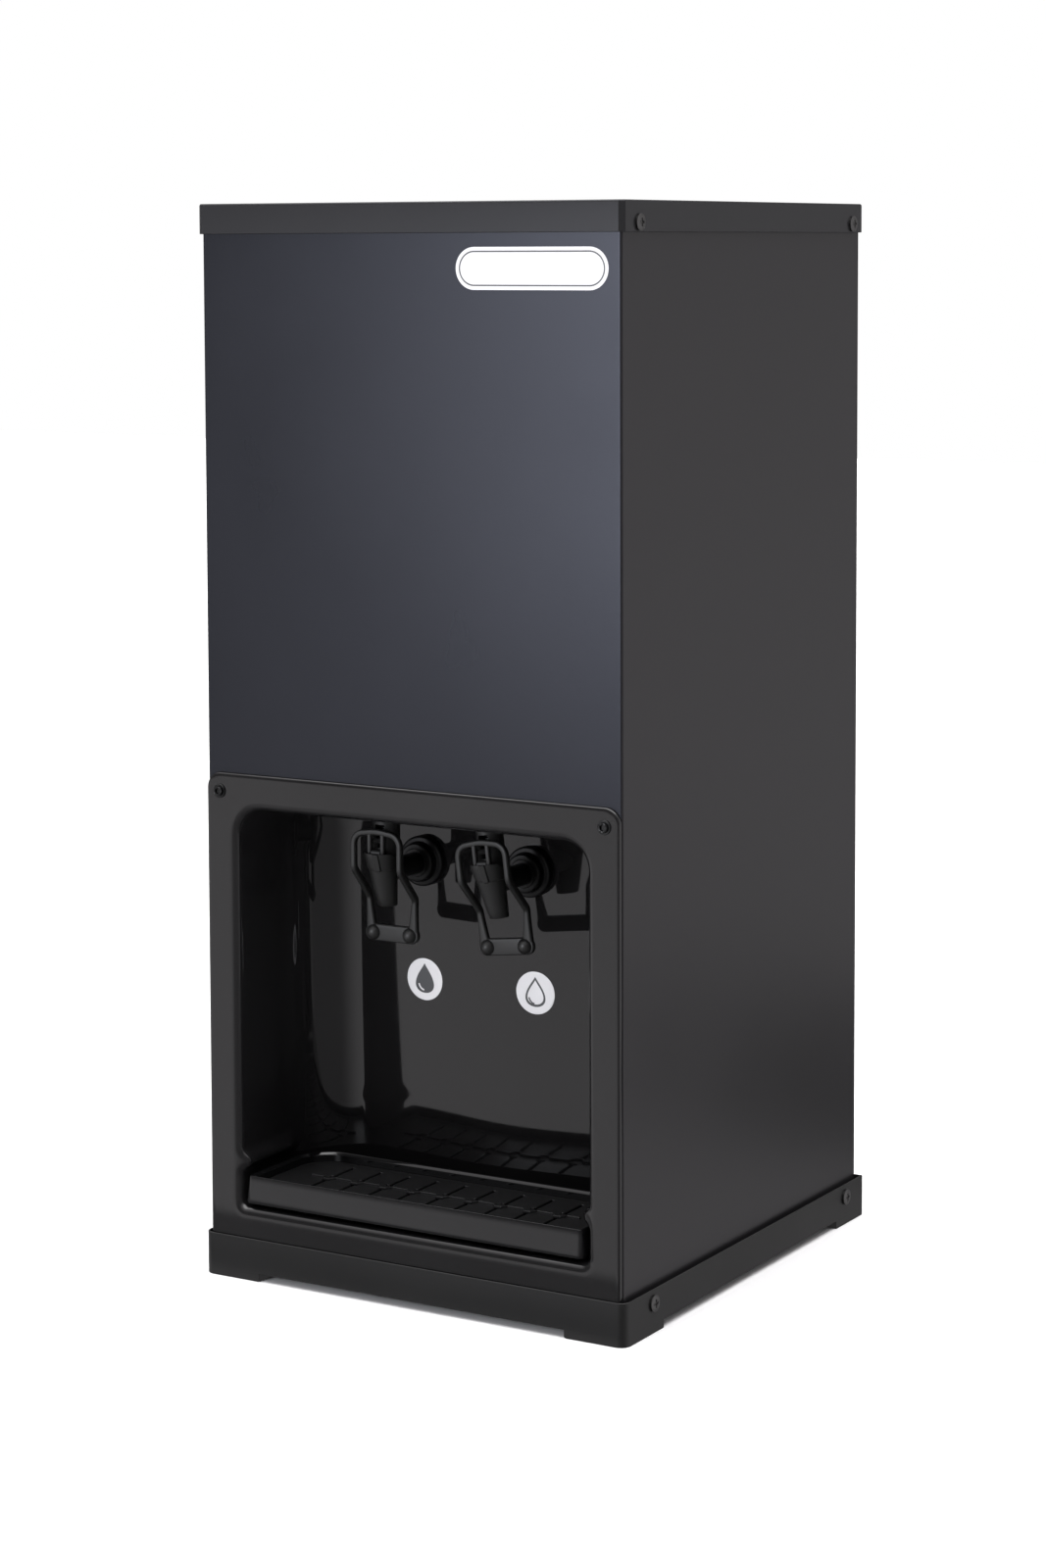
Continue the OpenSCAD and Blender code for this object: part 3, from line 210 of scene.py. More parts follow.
# Turned shape: (radius, height) pairs carried round an axis, the angle in equal steps
def turned(profile, axis="z", centre=(0, 0, 0), steps=48, capped=True):
    profile = np.asarray(profile, float)
    return loft(rings(profile[:, :1], profile[:, 1:], axis, centre, steps), capped)


# Mesh piece from a shell: doubled points joined, faces turned outwards, soft shading up to the sharp angle
def addPiece(name, shell, finish, nodes=(), body="cabinet", sharp=35):
    points, blocks = shell
    mesh = bpy.data.meshes.new(name)
    mesh.from_pydata((points * mm).tolist(), [], [face for block in blocks for face in block.tolist()])
    work = bmesh.new()
    work.from_mesh(mesh)
    bmesh.ops.remove_doubles(work, verts=work.verts, dist=2e-6)
    bmesh.ops.recalc_face_normals(work, faces=work.faces)
    work.to_mesh(mesh)
    work.free()
    mesh.shade_smooth()
    mesh.set_sharp_from_angle(angle=math.radians(sharp))
    mesh.materials.append(finish)
    piece = bpy.data.objects.new(name, mesh)
    scene.collection.objects.link(piece)
    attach(piece, body)
    if nodes:
        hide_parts(*nodes)
    return piece


# Finishes

# Inputs of a node, each linked to an output or set to a value
def setInputs(tree, node, inputs):
    for key, source in inputs.items():
        if isinstance(source, bpy.types.NodeSocket):
            tree.links.new(source, node.inputs[key])
        else:
            node.inputs[key].default_value = source
    return node


# New node of a kind, with its inputs and its other settings
def addNode(tree, kind, inputs, **settings):
    node = tree.nodes.new("ShaderNode" + kind)
    for key, value in settings.items():
        setattr(node, key, value)
    return setInputs(tree, node, inputs)


# New material with its node tree, its shader and the object's own coordinates
def startFinish(name):
    finish = bpy.data.materials.new(name)
    finish.use_nodes = True
    tree = finish.node_tree
    return finish, tree, tree.nodes["Principled BSDF"], addNode(tree, "TexCoord", {}).outputs["Object"]


# Noise over the object's own coordinates, stretched by a scale on each axis
def noise(tree, coords, scale, detail, roughness=0.5, stretch=None):
    if stretch:
        coords = addNode(tree, "Mapping", {"Vector": coords, "Scale": stretch}).outputs["Vector"]
    inputs = {"Vector": coords, "Scale": scale, "Detail": detail, "Roughness": roughness}
    return addNode(tree, "TexNoise", inputs).outputs["Fac"]


# Value moved from one span to another, held at the ends
def span(tree, value, low, high, fromLow=0.3, fromHigh=0.7, **settings):
    inputs = {"Value": value, "From Min": fromLow, "From Max": fromHigh, "To Min": low, "To Max": high}
    return addNode(tree, "MapRange", inputs, **settings).outputs["Result"]


# Colour that runs between two stops as the value grows
def ramp(tree, value, stops):
    node = addNode(tree, "ValToRGB", {"Fac": value})
    for point, (place, colour) in zip(node.color_ramp.elements, stops):
        point.position = place
        point.color = (*colour, 1)
    return node.outputs["Color"]


# Bump of a height over a depth in metres
def bump(tree, height, depth):
    return addNode(tree, "Bump", {"Height": height, "Distance": depth, "Strength": 1.0}).outputs["Normal"]


# Colour as a shade between a darker and a lighter version of itself
def shades(colour, dark, light):
    return [(0.3, tuple(np.array(colour) * dark)), (0.7, tuple(np.array(colour) * light))]


# Plain finish: colour and roughness wander with a broad noise, and a fine noise gives the grain its bump
def plainFinish(name, colour, roughness, grain, depth, metallic=0.0, broad=14.0, spread=0.12, wander=0.05,
                stretch=None, shine=0.5, tint=(1, 1, 1)):
    finish, tree, shader, coords = startFinish(name)
    wide = noise(tree, coords, broad, 4.0, stretch=stretch)
    fine = noise(tree, coords, grain, 2.0, stretch=stretch)
    setInputs(tree, shader, {"Base Color": ramp(tree, wide, shades(colour, 1 - spread, 1 + spread)),
                             "Roughness": span(tree, wide, roughness - wander, roughness + wander),
                             "Normal": bump(tree, fine, depth), "Metallic": metallic,
                             "Specular IOR Level": shine, "Specular Tint": (*tint, 1)})
    return finish


# Gloss sheet: nearly black, mirror smooth, with the slow waves of a formed sheet and a little dust
# in the roughness
def glossSheet(name, colour, waves):
    finish, tree, shader, coords = startFinish(name)
    slow = noise(tree, coords, 9.0, 1.0, stretch=(1, 1, 0.12))
    dust = noise(tree, coords, 260.0, 5.0, 0.65)
    setInputs(tree, shader, {"Base Color": ramp(tree, slow, shades(colour, 0.85, 1.15)),
                             "Roughness": span(tree, dust, 0.035, 0.085, 0.45, 0.75),
                             "Normal": bump(tree, slow, waves)})
    return finish


# Spangled zinc: cells of slightly different grey, as hot-dipped sheet has
def zincSheet(name):
    finish, tree, shader, coords = startFinish(name)
    cells = addNode(tree, "TexVoronoi", {"Vector": coords, "Scale": 120.0})
    grey = addNode(tree, "SeparateColor", {"Color": cells.outputs["Color"]}).outputs
    shade = ramp(tree, grey["Red"], [(0.0, (0.42, 0.43, 0.45)), (1.0, (0.62, 0.63, 0.65))])
    rough = span(tree, grey["Green"], 0.3, 0.5, 0.0, 1.0)
    setInputs(tree, shader, {"Base Color": shade, "Roughness": rough, "Metallic": 1.0})
    return finish


# Colour, roughness, grain's scale and grain's depth in metres, then what sets the finish apart
coat = dict(grain=900.0, depth=0.00003, broad=5.0, spread=0.10, wander=0.03)  # the fine peel of baked paint
bodyPaint = plainFinish("bodyPaint", (0.012, 0.0115, 0.0124), 0.34, shine=0.4, tint=(1.0, 0.96, 1.0), **coat)
# The front panel wears a darker, less shiny copy of the body paint: painted shade that holds down the key
# light falling on the front
shadedFrontPaint = plainFinish("shadedFrontPaint", (0.0045, 0.0045, 0.0055), 0.29, shine=0.28,
                         tint=(0.80, 0.84, 1.0), **coat)
capPaint = plainFinish("capPaint", (0.012, 0.0118, 0.0125), 0.36, shine=0.40, tint=(0.93, 0.94, 1.0), **coat)
plinthPlastic = plainFinish("plinthPlastic", (0.0055, 0.0054, 0.0053), 0.46, 1500.0, 0.00004, broad=8.0,
                            shine=0.43)
glossBlack = glossSheet("glossBlack", (0.0074, 0.0072, 0.0076), 0.00003)
trayBlack = glossSheet("trayBlack", (0.005, 0.005, 0.0055), 0.00002)
grilleBlack = plainFinish("grilleBlack", (0.013, 0.013, 0.0135), 0.33, 500.0, 0.00002, shine=0.28)
tapBlack = plainFinish("tapBlack", (0.0086, 0.0086, 0.0084), 0.44, 1800.0, 0.00003, broad=40.0, shine=0.38)
# Darker black of the wall nuts and fascia screws; on the tap stem, one part with the body, it is painted
# shade
nutBlackAndStemShade = plainFinish("nutBlackAndStemShade", (0.003, 0.003, 0.0031), 0.32, 900.0, 0.00002, broad=40.0, shine=0.24)
pinBlack = plainFinish("pinBlack", (0.012, 0.012, 0.013), 0.4, 900.0, 0.00002, broad=120.0, shine=0.3)
screwBlack = plainFinish("screwBlack", (0.085, 0.083, 0.083), 0.34, 2500.0, 0.00002, metallic=0.8,
                         broad=120.0)
labelWhite = plainFinish("labelWhite", (0.56, 0.555, 0.565), 0.38, 600.0, 0.00001, broad=30.0, spread=0.03)
inkGrey = plainFinish("inkGrey", (0.045, 0.047, 0.05), 0.42, 900.0, 0.00001, broad=60.0, spread=0.08)
steelPlain = plainFinish("steelPlain", (0.55, 0.55, 0.56), 0.28, 900.0, 0.00002, metallic=1.0,
                         stretch=(1, 1, 14))
zincPlain = zincSheet("zincPlain")
rubberBlack = plainFinish("rubberBlack", (0.014, 0.014, 0.014), 0.72, 1200.0, 0.00005)
copperTube = plainFinish("copperTube", (0.66, 0.31, 0.17), 0.3, 400.0, 0.00002, metallic=1.0,
                         spread=0.25, wander=0.1)
brassTurned = plainFinish("brassTurned", (0.62, 0.47, 0.22), 0.27, 700.0, 0.00002, metallic=1.0, spread=0.15)
foamCream = plainFinish("foamCream", (0.78, 0.77, 0.72), 0.9, 700.0, 0.0003, spread=0.06)
whitePlastic = plainFinish("whitePlastic", (0.74, 0.74, 0.70), 0.4, 900.0, 0.00002, spread=0.04)
floatOrange = plainFinish("floatOrange", (0.62, 0.17, 0.04), 0.38, 700.0, 0.00003, spread=0.1)
enamelBlack = plainFinish("enamelBlack", (0.012, 0.012, 0.013), 0.3, 300.0, 0.00004, broad=20.0)
mouldedBlack = plainFinish("mouldedBlack", (0.016, 0.016, 0.016), 0.5, 1600.0, 0.00004)
print("finishes:", len(bpy.data.materials))


# Stage

floorPaper = dict(half=9000.0, colour=(0.86, 0.86, 0.86))
# Shade cards: painted shade on the floor in front of the cooler and behind it on the right, seen only in
# gloss
frontCard = dict(bounds=(-900.0, 900.0, -352.0, -215.0), clear=-352.0, full=-318.0, level=0.5, dark=0.75)
rearCard = dict(bounds=(190.0, 700.0, 230.0, 900.0), clear=230.0, full=480.0, level=0.5, dark=0.9)
cameraSet = dict(target=(-2.0, -27.5, 552.5), distance=2586.0, azimuth=30.779, pitch=4.785, roll=-0.207,
                 focalPixels=3495.0, imageHeight=1600.0, axisX=0.0, axisY=-256.0, sensor=36.0)
surround = dict(room=0.195, colour=(1.0, 0.98, 1.0), paperAzimuth=-50, paperInner=22, paperOuter=75,
                paperLow=0.08, paperHigh=0.74, paperTop=-0.02, paperFull=-0.09, nearEdge=-0.38, nearSoft=0.03,
                nearShade=0.5, wallAzimuth=115, wallInner=10, wallOuter=50, wallHigh=0.60, ceiling=1.5,
                ceilingFrom=0.45, ceilingTo=0.8)
lightAim = (0, 0, 0.42)  # the middle of the object, in metres
overhead = dict(power=3.2, spread=70.0, height=3.0)
keyLight = dict(azimuth=-15, elevation=7, distance=2.8, size=1.2, power=43, colour=(0.95, 0.97, 1.03))
fillLight = dict(keyLight, power=17)
sideLight = dict(azimuth=-85, elevation=20, distance=3.0, size=1.0, power=12, colour=(1, 1, 1))


# Flat sheet of the stage between two corners, at a level
def stageSheet(name, bounds, level, finish):
    x0, x1, y0, y1 = bounds
    corners = np.array([(x0, y0, level), (x1, y0, level), (x1, y1, level), (x0, y1, level)]) * mm
    mesh = bpy.data.meshes.new(name)
    mesh.from_pydata(corners.tolist(), [], [(0, 1, 2, 3)])
    mesh.materials.append(finish)
    sheet = bpy.data.objects.new(name, mesh)
    scene.collection.objects.link(sheet)
    return sheet


# Floor: a square at the feet, which gloss doesn't mirror
def makeFloor():
    half = floorPaper["half"]
    finish = plainFinish("floorPaper", floorPaper["colour"], 0.8, 60.0, 0.0001, broad=1.5, spread=0.01)
    stageSheet("floor", (-half, half, -half, half), 0, finish).visible_glossy = False


# Painted shade on the ground: a dark card that only gloss sees, standing in for the floor's shade near the
# cooler; clear at one depth, dark at another, and a smooth step between them
def makeShadeCard(name, s):
    finish = plainFinish(name + "Black", (0.01, 0.01, 0.01), 0.9, 60.0, 0.0001)
    tree = finish.node_tree
    coords = tree.nodes["Texture Coordinate"].outputs["Object"]
    depth = addNode(tree, "SeparateXYZ", {0: coords}).outputs["Y"]
    ends = s["clear"] * mm, s["full"] * mm
    dark = span(tree, depth, 0.0, s["dark"], *ends, interpolation_type="SMOOTHSTEP")
    clear = addNode(tree, "BsdfTransparent", {})
    chosen = mixed(tree, dark, clear, tree.nodes["Principled BSDF"])
    setInputs(tree, tree.nodes["Material Output"], {"Surface": chosen})
    plate = stageSheet(name, s["bounds"], s["level"], finish)
    plate.visible_camera = False
    plate.visible_diffuse = False
    plate.visible_shadow = False
    plate.visible_transmission = False


# Two shaders mixed by a share
def mixed(tree, share, first, second):
    inputs = {"Fac": share, 1: first.outputs[0], 2: second.outputs[0]}
    return addNode(tree, "MixShader", inputs).outputs[0]


# Two values joined by a sum or a product
def joined(tree, operation, first, second):
    return addNode(tree, "Math", {0: first, 1: second}, operation=operation).outputs[0]


# Way out from the object, at an azimuth counted from the front towards +X and an elevation, in degrees
def wayOut(azimuth, elevation):
    a, e = math.radians(azimuth), math.radians(elevation)
    return Vector((math.sin(a) * math.cos(e), -math.cos(a) * math.cos(e), math.sin(e)))


# Object of the stage at a place, looking against the way out
def placed(name, data, place, way):
    thing = bpy.data.objects.new(name, data)
    scene.collection.objects.link(thing)
    thing.location = place
    thing.rotation_euler = (-way).to_track_quat("-Z", "Y").to_euler()
    return thing


# Camera on a sphere round the target, its axis off the picture's middle by the shift
def makeCamera():
    s = cameraSet
    back = wayOut(s["azimuth"], s["pitch"])
    place = Vector(s["target"]) * mm + back * s["distance"] * mm
    camera = placed("camera", bpy.data.cameras.new("camera"), place, back)
    camera.rotation_euler.rotate_axis("Z", math.radians(s["roll"]))
    camera.data.sensor_fit = "VERTICAL"
    camera.data.sensor_height = s["sensor"]
    camera.data.lens = s["focalPixels"] / s["imageHeight"] * s["sensor"]
    camera.data.shift_x = -s["axisX"] / s["imageHeight"]
    camera.data.shift_y = s["axisY"] / s["imageHeight"]
    camera.data.clip_end = 50
    scene.camera = camera


# Level of a screen round one azimuth: full within the inner angle, none past the outer, smooth between
def screenLevel(tree, way, azimuth, inner, outer, low, high):
    inputs = {0: way, 1: wayOut(azimuth, 0)}
    toward = addNode(tree, "VectorMath", inputs, operation="DOT_PRODUCT").outputs["Value"]
    edges = math.cos(math.radians(outer)), math.cos(math.radians(inner))
    return span(tree, toward, low, high, *edges, interpolation_type="SMOOTHSTEP")


# Surround: a dim room with a pale ceiling, white paper below eye level that is bright ahead on the left,
# and a grey wall on the right
def makeSurround():
    s = surround
    world = bpy.data.worlds.new("surround")
    scene.world = world
    world.use_nodes = True
    tree = world.node_tree
    tree.nodes.clear()
    way = addNode(tree, "TexCoord", {}).outputs["Generated"]
    height = addNode(tree, "SeparateXYZ", {0: way}).outputs["Z"]
    room, edge, soft = s["room"], s["nearEdge"], s["nearSoft"]
    paper = screenLevel(tree, way, s["paperAzimuth"], s["paperInner"], s["paperOuter"],
                        s["paperLow"], s["paperHigh"])
    paper = joined(tree, "MULTIPLY", paper, span(tree, height, 1.0, 0.0, s["paperFull"], s["paperTop"]))
    paper = joined(tree, "MULTIPLY", paper, span(tree, height, s["nearShade"], 1.0, edge - soft, edge + soft))
    wall = screenLevel(tree, way, s["wallAzimuth"], s["wallInner"], s["wallOuter"],
                       room, room + s["wallHigh"])
    ceiling = span(tree, height, 0.0, s["ceiling"], s["ceilingFrom"], s["ceilingTo"])
    strength = joined(tree, "ADD", joined(tree, "ADD", paper, wall), ceiling)
    light = addNode(tree, "Background", {"Color": (*s["colour"], 1), "Strength": strength})
    white = addNode(tree, "Background", {"Color": (1, 1, 1, 1), "Strength": 1.0})
    seen = addNode(tree, "LightPath", {}).outputs["Is Camera Ray"]
    addNode(tree, "OutputWorld", {"Surface": mixed(tree, seen, light, white)})


# Even light from straight above, wide enough for a soft shadow under the feet
def makeOverhead():
    data = bpy.data.lights.new("overhead", "SUN")
    data.energy = overhead["power"]
    data.angle = math.radians(overhead["spread"])
    placed("overhead", data, (0, 0, overhead["height"]), Vector((0, 0, 1)))


# Soft square light on a sphere round the object, facing it
def makeLight(name, s):
    data = bpy.data.lights.new(name, "AREA")
    data.size = s["size"]
    data.energy = s["power"]
    data.color = s["colour"]
    out = wayOut(s["azimuth"], s["elevation"])
    placed(name, data, Vector(lightAim) + out * s["distance"], out).visible_camera = False


# Lamp kept off some pieces, or on those alone, as a screen set near a lamp does
def flag(lamp, state, pieces):
    group = bpy.data.collections.new(lamp + "Flag")
    for name in pieces:
        group.objects.link(bpy.data.objects[name])
    for entry in group.collection_objects:
        entry.light_linking.link_state = state
    bpy.data.objects[lamp].light_linking.receiver_collection = group


makeFloor()
makeShadeCard("frontCard", frontCard)
makeShadeCard("rearCard", rearCard)
makeCamera()
makeSurround()
makeOverhead()
makeLight("keyLight", keyLight)
makeLight("fillLight", fillLight)
makeLight("sideLight", sideLight)
print("stage: floor, camera, surround and lights")


# Cabinet

topCap = dict(sheet=1.2, corner=3.6, edge=1.6, hem=0.35)
frontPanel = dict(narrow=0.5, edge=0.5)
plinth = dict(wall=1.1, corner=7.5, rearCorner=0.6, edge=0.6, deckTop=9.0, footHeight=6.0, footWide=50.0,
              frontFoot=57.0, rearFoot=48.0, footCorner=1.6, footSoft=0.5)


# Quarter of a round edge in (inset, level) pairs, from the wall over to a face that looks up the axis
# or down it
def roundedEdge(radius, face, up=1):
    a = np.linspace(0, quarter, 6)
    return np.stack([radius * (1 - np.cos(a)), face - up * radius * (1 - np.sin(a))], -1).tolist()


# Folded lid: up the inside of its skirt, round the hem, up the outside and over the bent edge to the flat top
def makeTopCap():
    s = topCap
    low, high, t, h = capLow[2], capHigh[2], s["sheet"], s["hem"]
    profile = [(t, high - t), (t, low + h), (t - h, low), (h, low), (0, low + h)]
    profile += roundedEdge(s["edge"], high) + [(s["edge"] + 1, high)]
    shell = stacked((capLow[0], capHigh[0], capLow[1], capHigh[1]), s["corner"], profile, arcSteps=1)
    addPiece("topCap", shell, capPaint, ["top_cap"])


# Front sheet: loops from its back to its face, the edge rounded over by a quarter circle
def makeFrontPanel():
    s = frontPanel
    profile = [(0, frontHigh[1])] + roundedEdge(s["edge"], frontY, -1) + [(s["edge"] + 1, frontY)]
    bounds = (frontLow[0] + s["narrow"], frontHigh[0] - s["narrow"], frontLow[2], frontHigh[2])
    shell = stacked(bounds, s["edge"], profile, "y")
    addPiece("frontPanel", shell, shadedFrontPaint, ["front_panel"])


# One foot: a block whose inner ends curve in towards the floor by a circle's sagitta
def footBlock(x0, x1, y0, y1, side, front):
    s = plinth
    c, soft = s["footCorner"], s["footSoft"]
    radii = [s["rearCorner"]] * 4
    if front:
        radii[0 if side > 0 else 3] = s["corner"]
    rows = []
    for z in [0.0, 0.1, 0.25, 0.5, 0.8, 1.2, c, s["footHeight"] + soft]:
        draw = c - math.sqrt(max(c * c - max(c - z, 0) ** 2, 0))
        e = max(soft - z, 0) * 0.6 + 0.02
        left, right = (draw, e) if side > 0 else (e, draw)
        near, far = (e, draw) if front else (draw, e)
        rows.append(standing(roundRect(x0 + left, x1 - right, y0 + near, y1 - far, radii), z))
    return loft(rows)


# Moulded base: a shallow tray of inset loops, and a foot under each corner
def makePlinth():
    s = plinth
    x0, y0, top = plinthLow[0], plinthLow[1], plinthHigh[2]
    x1, y1 = plinthHigh[:2]
    t, e, foot, deck, wide = s["wall"], s["edge"], s["footHeight"], s["deckTop"], s["footWide"]
    profile = [(t + 1, deck), (t, deck + 1), (t, top - e), (t - e * 0.4, top)] + roundedEdge(e, top)[::-1]
    profile += [(0, foot + s["footSoft"]), (0.4, foot), (2.0, foot)]
    radii = [s["corner"], s["rearCorner"], s["rearCorner"], s["corner"]]
    shells = [stacked((x0, x1, y0, y1), radii, profile)]
    for side, a, b in ((-1, x0, x0 + wide), (1, x1 - wide, x1)):
        shells.append(footBlock(a, b, y0, y0 + s["frontFoot"], side, True))
        shells.append(footBlock(a, b, y1 - s["rearFoot"], y1, side, False))
    addPiece("plinthBase", together(*shells), plinthPlastic, ["plinth"])


makeTopCap()
makeFrontPanel()
makePlinth()
print("cabinet: top cap, front panel and plinth")


# Alcove panel

alcove = dict(edge=2.2, fasciaCorner=12.0, footCorner=0.6, half=148.5, low=55.0, high=354.0, topCorner=20.0,
              lowCorner=5.0, roll=7.0, sideBend=46.0, roofBend=14.0, beadOut=6.0, beadHalf=10.0,
              beadLevel=88.5, beadReach=12.0, plainFrom=112.0, sag=7.0, sagFrom=345.0, bow=3.2)


# Set-back of the formed sheet: none at the lip, and in full at the back wall, which falls back towards
# the tray by a square law and bows out a little between its upright bends
def wallSetBack(points):
    s = alcove
    x, y, z = np.moveaxis(points, -1, 0)
    lip = fasciaY + s["roll"]
    share = np.clip((y - lip) / (wallY - lip), 0, 1)
    bow = s["bow"] * 0.5 * (1 + np.cos(math.pi * np.clip(x / (s["half"] - s["sideBend"]), -1, 1)))
    sag = s["sag"] * np.maximum((s["sagFrom"] - z) / (s["sagFrom"] - s["low"]), 0) ** 2
    return np.stack([x, y + share * (sag - bow), z], -1)


# One formed sheet as loops from the back wall's middle out: wall bends, upright walls with a rounded bead,
# a rolled lip, the flat flange, and the same again behind it by the sheet's thickness
def makeAlcove():
    s = alcove
    t, edge, roll, half, arcSteps = fasciaThick, s["edge"], s["roll"], s["half"], 12
    low, high, sideBend, roofBend = s["low"], s["high"], s["sideBend"], s["roofBend"]
    first, last = low + s["lowCorner"], high - s["topCorner"]
    beadLines = s["beadLevel"] + s["beadHalf"] * np.linspace(-1, 1, 21)
    levels = np.concatenate([[first + 8], beadLines, np.linspace(s["plainFrom"], last - 10, 8)])
    up = (levels - first) / (last - first)
    across = np.linspace(0, 1, 15)[1:-1]
    runs = (up, across, 1 - up[::-1], across)
    toRoof = np.sin(loopAngle(arcSteps, runs)) ** 2
    bend = sideBend * (1 - toRoof) + roofBend * toRoof
    bendAngles = np.radians([0, 1.5, 3, 4.5, 6, 8, 11, 15, 20, 26, 33, 41, 50, 59, 68, 76, 83, 90])
    lipRadii = np.array([s["lowCorner"], s["topCorner"], s["topCorner"], s["lowCorner"]])
    flangeRadii = np.array([s["footCorner"], s["fasciaCorner"], s["fasciaCorner"], s["footCorner"]])

    def opening(growX, growZ, grow, y):
        radii = lipRadii + grow
        loop = roundRect(-half - growX, half + growX, low - growZ, high + growZ, radii, arcSteps, runs)
        return standing(loop, y, "y")

    def bentRow(angle, thick):
        growX = (sideBend + thick) * math.cos(angle) - sideBend
        growZ = (roofBend + thick) * math.cos(angle) - roofBend
        return opening(growX, growZ, thick, wallY - bend + (bend + thick) * math.sin(angle))

    def wallRow(share, thick, y0):
        return opening(thick, thick, thick, y0 + share * (wallY - bend - y0))

    def rollRow(angle):
        grow = roll * (1 - math.sin(angle))
        return opening(grow, grow, grow, fasciaY + roll * (1 - math.cos(angle)))

    def flangeRow(inset, y):
        x0, z0, x1, z1 = panelLow[0] + inset, panelLow[2] + inset, panelHigh[0] - inset, panelHigh[2] - inset
        return standing(roundRect(x0, x1, z0, z1, flangeRadii - inset, arcSteps, runs), y, "y")

    wall = bentRow(bendAngles[-1], 0)
    centre = np.array([0, wallY, (low + high) / 2])
    shares = (0.03, 0.2, 0.35, 0.5, 0.62, 0.73, 0.82, 0.9, 0.96, 0.99)
    rows = [centre + (wall - centre) * np.array([f, 1, f]) for f in shares]
    rows += [bentRow(a, 0) for a in bendAngles[::-1]]
    rows += [wallRow(f, 0, fasciaY + roll) for f in (0.97, 0.8, 0.6, 0.4, 0.25, 0.15, 0.09, 0.05, 0.02)]
    rows += [rollRow(a) for a in np.radians(np.linspace(90, 0, 15))]
    front = len(rows)
    face = rollRow(0)
    rows += [face + (flangeRow(edge, fasciaY) - face) * f for f in (0.06, 0.9)]
    rounding = ((1, 0), (0.62, 0.076), (0.29, 0.29), (0.076, 0.62), (0, 1))
    rows += [flangeRow(d * edge, fasciaY + h * edge) for d, h in rounding]
    rows += [flangeRow(0, frontY), wallRow(0.0, t, frontY), wallRow(0.5, t, frontY)]
    rows += [bentRow(a, t) for a in bendAngles[::3]] + [bentRow(bendAngles[-1], t)]
    loops = np.array(rows)
    x, y, z = np.moveaxis(loops[:front], -1, 0)
    past = np.clip((y - (wallY - sideBend)) / s["beadHalf"], 0, 1)
    lead = np.clip((y - fasciaY) / roll, 0, 1)
    off = np.clip((z - s["beadLevel"]) / s["beadHalf"], -1, 1)
    swell = s["beadOut"] * (0.5 + 0.5 * np.cos(math.pi * off))
    rise = swell * np.sqrt(1 - past ** 2) * np.sin(lead * quarter)
    loops[:front, :, 0] -= np.sign(x) * rise * (np.abs(x) > half - s["beadReach"])
    shell = loft(wallSetBack(loops))
    addPiece("alcovePanel", shell, glossBlack, ["alcove_panel"], sharp=50)


makeAlcove()
print("alcove: one formed panel")


# Drip tray

tray = dict(rimIn=2.4, slopeWide=1.6, slopeHigh=2.2, rimOut=0.4, ledge=3.6, rearCorner=29.0, frontCorner=5.0,
            leastCorner=0.9, floor=2.0, lean=2.0, runnerHigh=2.2, runnerWide=6.0)
grille = dict(edge=3.2, shrink=1.9, thick=3.0, pitch=25.0, slit=3.0, border=9.0, rib=8.0, count=4, notch=7.0,
              notchDeep=3.0, bevel=0.5, ribHigh=1.5, ribWide=1.9, ribSunk=0.4, dent=4.5, dentHalf=5.5,
              dentFlat=0.45)


# Open tray: from its floor up the inside, over the ledge and the sloped rim, and down the leaning outside
def makeTray():
    s = tray
    x0, y0, z0 = trayLow
    x1, y1, top = trayHigh
    base, ledgeTop = z0 + s["runnerHigh"], grilleLow[2]
    floor, lean, out = base + s["floor"], s["lean"], s["rimOut"]
    wall = lean + out + s["rimIn"]
    inner = wall + s["ledge"]
    slope = [(wall, top - 4), (wall, top - s["slopeHigh"]), (wall - s["slopeWide"], top),
             (wall - s["rimIn"], top)]
    a = np.linspace(0, quarter, 5)[1:]
    outerRim = np.stack([lean + out - out * np.sin(a), top - out + out * np.cos(a)], -1)
    profile = [(inner + 2, floor), (inner + 0.5, floor + 0.5), (inner, floor + 2), (inner, ledgeTop - 0.6),
               (inner - 0.6, ledgeTop), (wall + 0.4, ledgeTop), (wall, ledgeTop + 0.4)]
    profile += roundPath(slope, [1.0, 1.2], 6).tolist() + outerRim.tolist()
    profile += [(0, base + 2.6), (0.22, base + 1.4), (0.7, base + 0.5), (1.6, base), (4, base)]
    radii = [s["frontCorner"], s["rearCorner"], s["rearCorner"], s["frontCorner"]]
    shells = [stacked((x0, x1, y0, y1), radii, profile, arcSteps=10, least=s["leastCorner"])]
    half = s["runnerWide"] / 2
    for x in ((x0 - x1) / 3, (x1 - x0) / 3):
        bounds = (x - half, x + half, y0 + 10, y1 - 20)
        shells.append(stacked(bounds, 1.5, [(0.5, z0), (0, z0 + 0.5), (0, base + 0.4)]))
    addPiece("dripTray", together(*shells), trayBlack, ["drip_tray"], "drip_tray")


# Half width of the grille at a depth: full, less the rear corners' sagitta
def grilleHalf(y, half, rear, corner):
    into = np.clip(y - (rear - corner), 0, corner)
    return half - (corner - np.sqrt(np.maximum(corner ** 2 - into ** 2, 0)))


